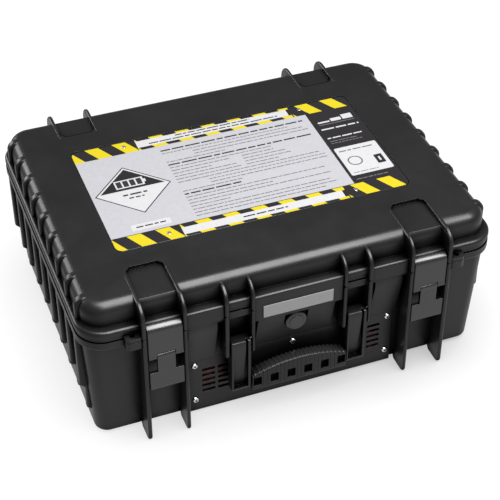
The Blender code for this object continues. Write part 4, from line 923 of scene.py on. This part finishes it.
def deck_marks():
    """Printed rings about the deck's sockets, and a charge gauge on the display."""
    top = deck_high.z
    lines = []
    for node, reach in (("ac_outlet_left", 0.0045), ("ac_outlet_right", 0.0045), ("charge_inlet", 0.0040)):
        low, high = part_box(node)
        middle, radius = centre_of(node), (high.x - low.x) / 2 + reach
        rings = [rounded(r, r, r * 0.998, 12) for r in (radius, radius - 0.0009)]
        rings = [[(middle.x + x, middle.y + y) for x, y in ring] for ring in rings]
        lines.append(sheet(rings[0], "xy", top - 0.0003, top + 0.00008, hole=rings[1]))
    trim("socket_rings", lines, PLATE_GREY, "base")
    window = centre_of("display")
    low_z, high_z, pitch = 0.1440, 0.14465, 0.0165
    bars = [box((window.x - 0.0400 + i * pitch, window.y - 0.0080, low_z),
                (window.x - 0.0270 + i * pitch, window.y + 0.0120, high_z)) for i in range(4)]
    bars.append(box((window.x - 0.0400, window.y - 0.0185, low_z),
                    (window.x + 0.0395, window.y - 0.0160, high_z)))
    trim("gauge", bars, GAUGE, "base")


def pocket_edges():
    """The shadow line round the inner end of each pocket at the back of the lid."""
    near, far = LATCH_FINS[0][1] - 0.0008, LATCH_FINS[1][0] + 0.0008
    cut, arm = POCKET_CHAMFER, 0.0060
    lines = []
    for side in SIDES:
        rims = []
        for inset in (0.0, 0.0013):
            x0, x1, y = near + inset, far - inset, POCKET_BACK_Y - 0.0004 + inset
            rims.append([(x0, y + cut + arm), (x0, y + cut), (x0 + cut, y), (x1 - cut, y), (x1, y + cut),
                         (x1, y + cut + arm)])
        outline = [(side * x, y) for x, y in rims[0] + rims[1][::-1]]
        lines.append(sheet(outline, "xy", LID_TOP_Z - 0.0012, LID_TOP_Z + 0.00005))
    trim("pocket_edges", lines, PAINTED_SHADE_BLACK, "lid")


def grip_parts():
    """Ribs over the grip, long ones between its windows and short ones above them, and a black sheet behind
    the windows as painted shade.
    """
    pitch = GRIP_WINDOW_PITCH / 4
    ribs = []
    for i in range(-11, 11):
        beside_window = i % 4 in (0, 3)
        ribs.append(grip_rib(pitch * (i + 0.5), grip_low.z + 0.0030 if beside_window else GRIP_WINDOW_TOP_Z))
    trim("grip_ribs", ribs, RUBBER, "handle")
    window_shade_sheet = box((-0.0640, -0.20118, 0.0436), (0.0640, -0.20106, 0.0576))
    trim("window_painted_shade", [window_shade_sheet], PAINTED_SHADE_BLACK, "handle")


def screw_crosses():
    """Dark crosses, a hair proud of the heads of the vent plate's and the deck's screws: painted shade for
    their cross recesses.
    """
    crosses = []
    for node in sorted(NODES):
        if not node.startswith(("plate_screw_", "deck_screw_")):
            continue
        low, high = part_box(node)
        middle = centre_of(node)
        for long, wide in ((CROSS_LONG, CROSS_WIDE), (CROSS_WIDE, CROSS_LONG)):
            if node.startswith("plate"):
                crosses.append(box((middle.x - long, low.y - PRINT_RISE, middle.z - wide),
                                   (middle.x + long, low.y + CROSS_DEEP, middle.z + wide)))
            else:
                crosses.append(box((middle.x - long, middle.y - wide, high.z - CROSS_DEEP),
                                   (middle.x + long, middle.y + wide, high.z + PRINT_RISE)))
    trim("screw_cross_shade", crosses, PAINTED_SHADE_BLACK, "base")


def small_parts():
    pocket_edges()
    grip_parts()
    knob_low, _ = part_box("valve_knob")
    face = cylinder(1, 0.0088, knob_low.y - 0.0005, knob_low.y + 0.0010, (0.0, VALVE_Z), 32)
    trim("knob_face", [face], SATIN, "valve_knob")
    deck_marks()
    screw_crosses()


# ---------------------------------------------------------------- studio

WHITE = (1, 1, 1, 1)


def seen_or_lit(tree, seen, lit):
    """One value for camera rays, and another for all other rays: the light shed and what reflects."""
    path = tree.nodes.new("ShaderNodeLightPath")
    strength = add(tree, "ShaderNodeMapRange", To_Min=lit, To_Max=seen)
    tree.links.new(path.outputs["Is Camera Ray"], strength.inputs["Value"])
    return strength.outputs["Result"]


def contact_shadow(tree, x):
    """1 on open floor, darker near the case, and more so to its right than to its left."""
    near = add(tree, "ShaderNodeAmbientOcclusion", Distance=0.11)
    weight = add(tree, "ShaderNodeMapRange", From_Min=-0.25, From_Max=0.10, To_Min=0.30, To_Max=0.60)
    tree.links.new(x, weight.inputs["Value"])
    blend = tree.nodes.new("ShaderNodeMix")
    blend.inputs["A"].default_value = 1.0
    tree.links.new(weight.outputs["Result"], blend.inputs["Factor"])
    tree.links.new(near.outputs["AO"], blend.inputs["B"])
    return blend.outputs["Result"]


def floor_sweep():
    """A white sweep that glows by itself, with less of its light reaching the case from the far left."""
    bpy.ops.mesh.primitive_plane_add(size=14.0, location=(0, 0, 0))
    obj = bpy.context.object
    obj.name = "floor"
    lit, lit_left = 0.68, 0.22
    material, tree, shader = node_material("floor_paper", (0.04, 0.04, 0.04), 0.7, specular=0.0)
    place = object_coordinates(tree)
    paper = tint(tree, noise(tree, place, scale=3.0), (0.038, 0.038, 0.038), (0.042, 0.042, 0.042))
    tree.links.new(paper, shader.inputs["Base Color"])
    shader.inputs["Emission Color"].default_value = WHITE
    axes = tree.nodes.new("ShaderNodeSeparateXYZ")
    tree.links.new(place, axes.inputs["Vector"])
    shadow = contact_shadow(tree, axes.outputs["X"])
    glow = seen_or_lit(tree, 1.0, lit)
    left_dim = add(tree, "ShaderNodeMapRange", From_Min=-0.55, From_Max=-0.22, To_Min=lit_left, To_Max=lit)
    tree.links.new(axes.outputs["X"], left_dim.inputs["Value"])
    tree.links.new(left_dim.outputs["Result"], glow.node.inputs["To Min"])
    tree.links.new(times(tree, shadow, glow), shader.inputs["Emission Strength"])
    obj.data.materials.append(material)


def softbox(name, place, target, size, power):
    light = bpy.data.lights.new(name, "AREA")
    light.shape, light.size, light.size_y, light.energy = "RECTANGLE", size[0], size[1], power
    obj = bpy.data.objects.new(name, light)
    obj.location = place
    obj.rotation_euler = (Vector(target) - Vector(place)).to_track_quat("-Z", "Y").to_euler()
    bpy.context.scene.collection.objects.link(obj)


def studio():
    floor_sweep()
    middle = (0.0, 0.0, 0.1)
    softbox("key", (0.34, -0.66, 2.02), middle, size=(1.5, 2.0), power=132)
    softbox("rear", (-1.6, 1.9, 1.0), middle, size=(1.6, 1.0), power=34)
    world = bpy.data.worlds.new("studio")
    bpy.context.scene.world = world
    world.use_nodes = True
    tree = world.node_tree
    tree.links.new(seen_or_lit(tree, 1.0, 0.24), tree.nodes["Background"].inputs["Strength"])
    tree.nodes["Background"].inputs["Color"].default_value = WHITE
    bpy.context.scene.view_settings.view_transform = "Standard"


def camera():
    data = bpy.data.cameras.new("camera")
    data.lens, data.sensor_width = 102.75, 36.0
    obj = bpy.data.objects.new("camera", data)
    obj.location = (-0.4809, -1.3144, 1.2374)
    line_of_sight = Vector((0.2713, 0.7200, -0.6388))
    obj.rotation_euler = line_of_sight.to_track_quat("-Z", "Y").to_euler()
    bpy.context.scene.collection.objects.link(obj)
    bpy.context.scene.camera = obj


# ---------------------------------------------------------------- assembly

dress_frame()
finish_piece(lid_piece(), "lid", BLACK, ["lid_shell"])
finish_piece(base_piece(), "base", BLACK, ["base_shell"])
label_ink = print_label()
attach(label_ink, "lid")
small_parts()
studio()
camera()
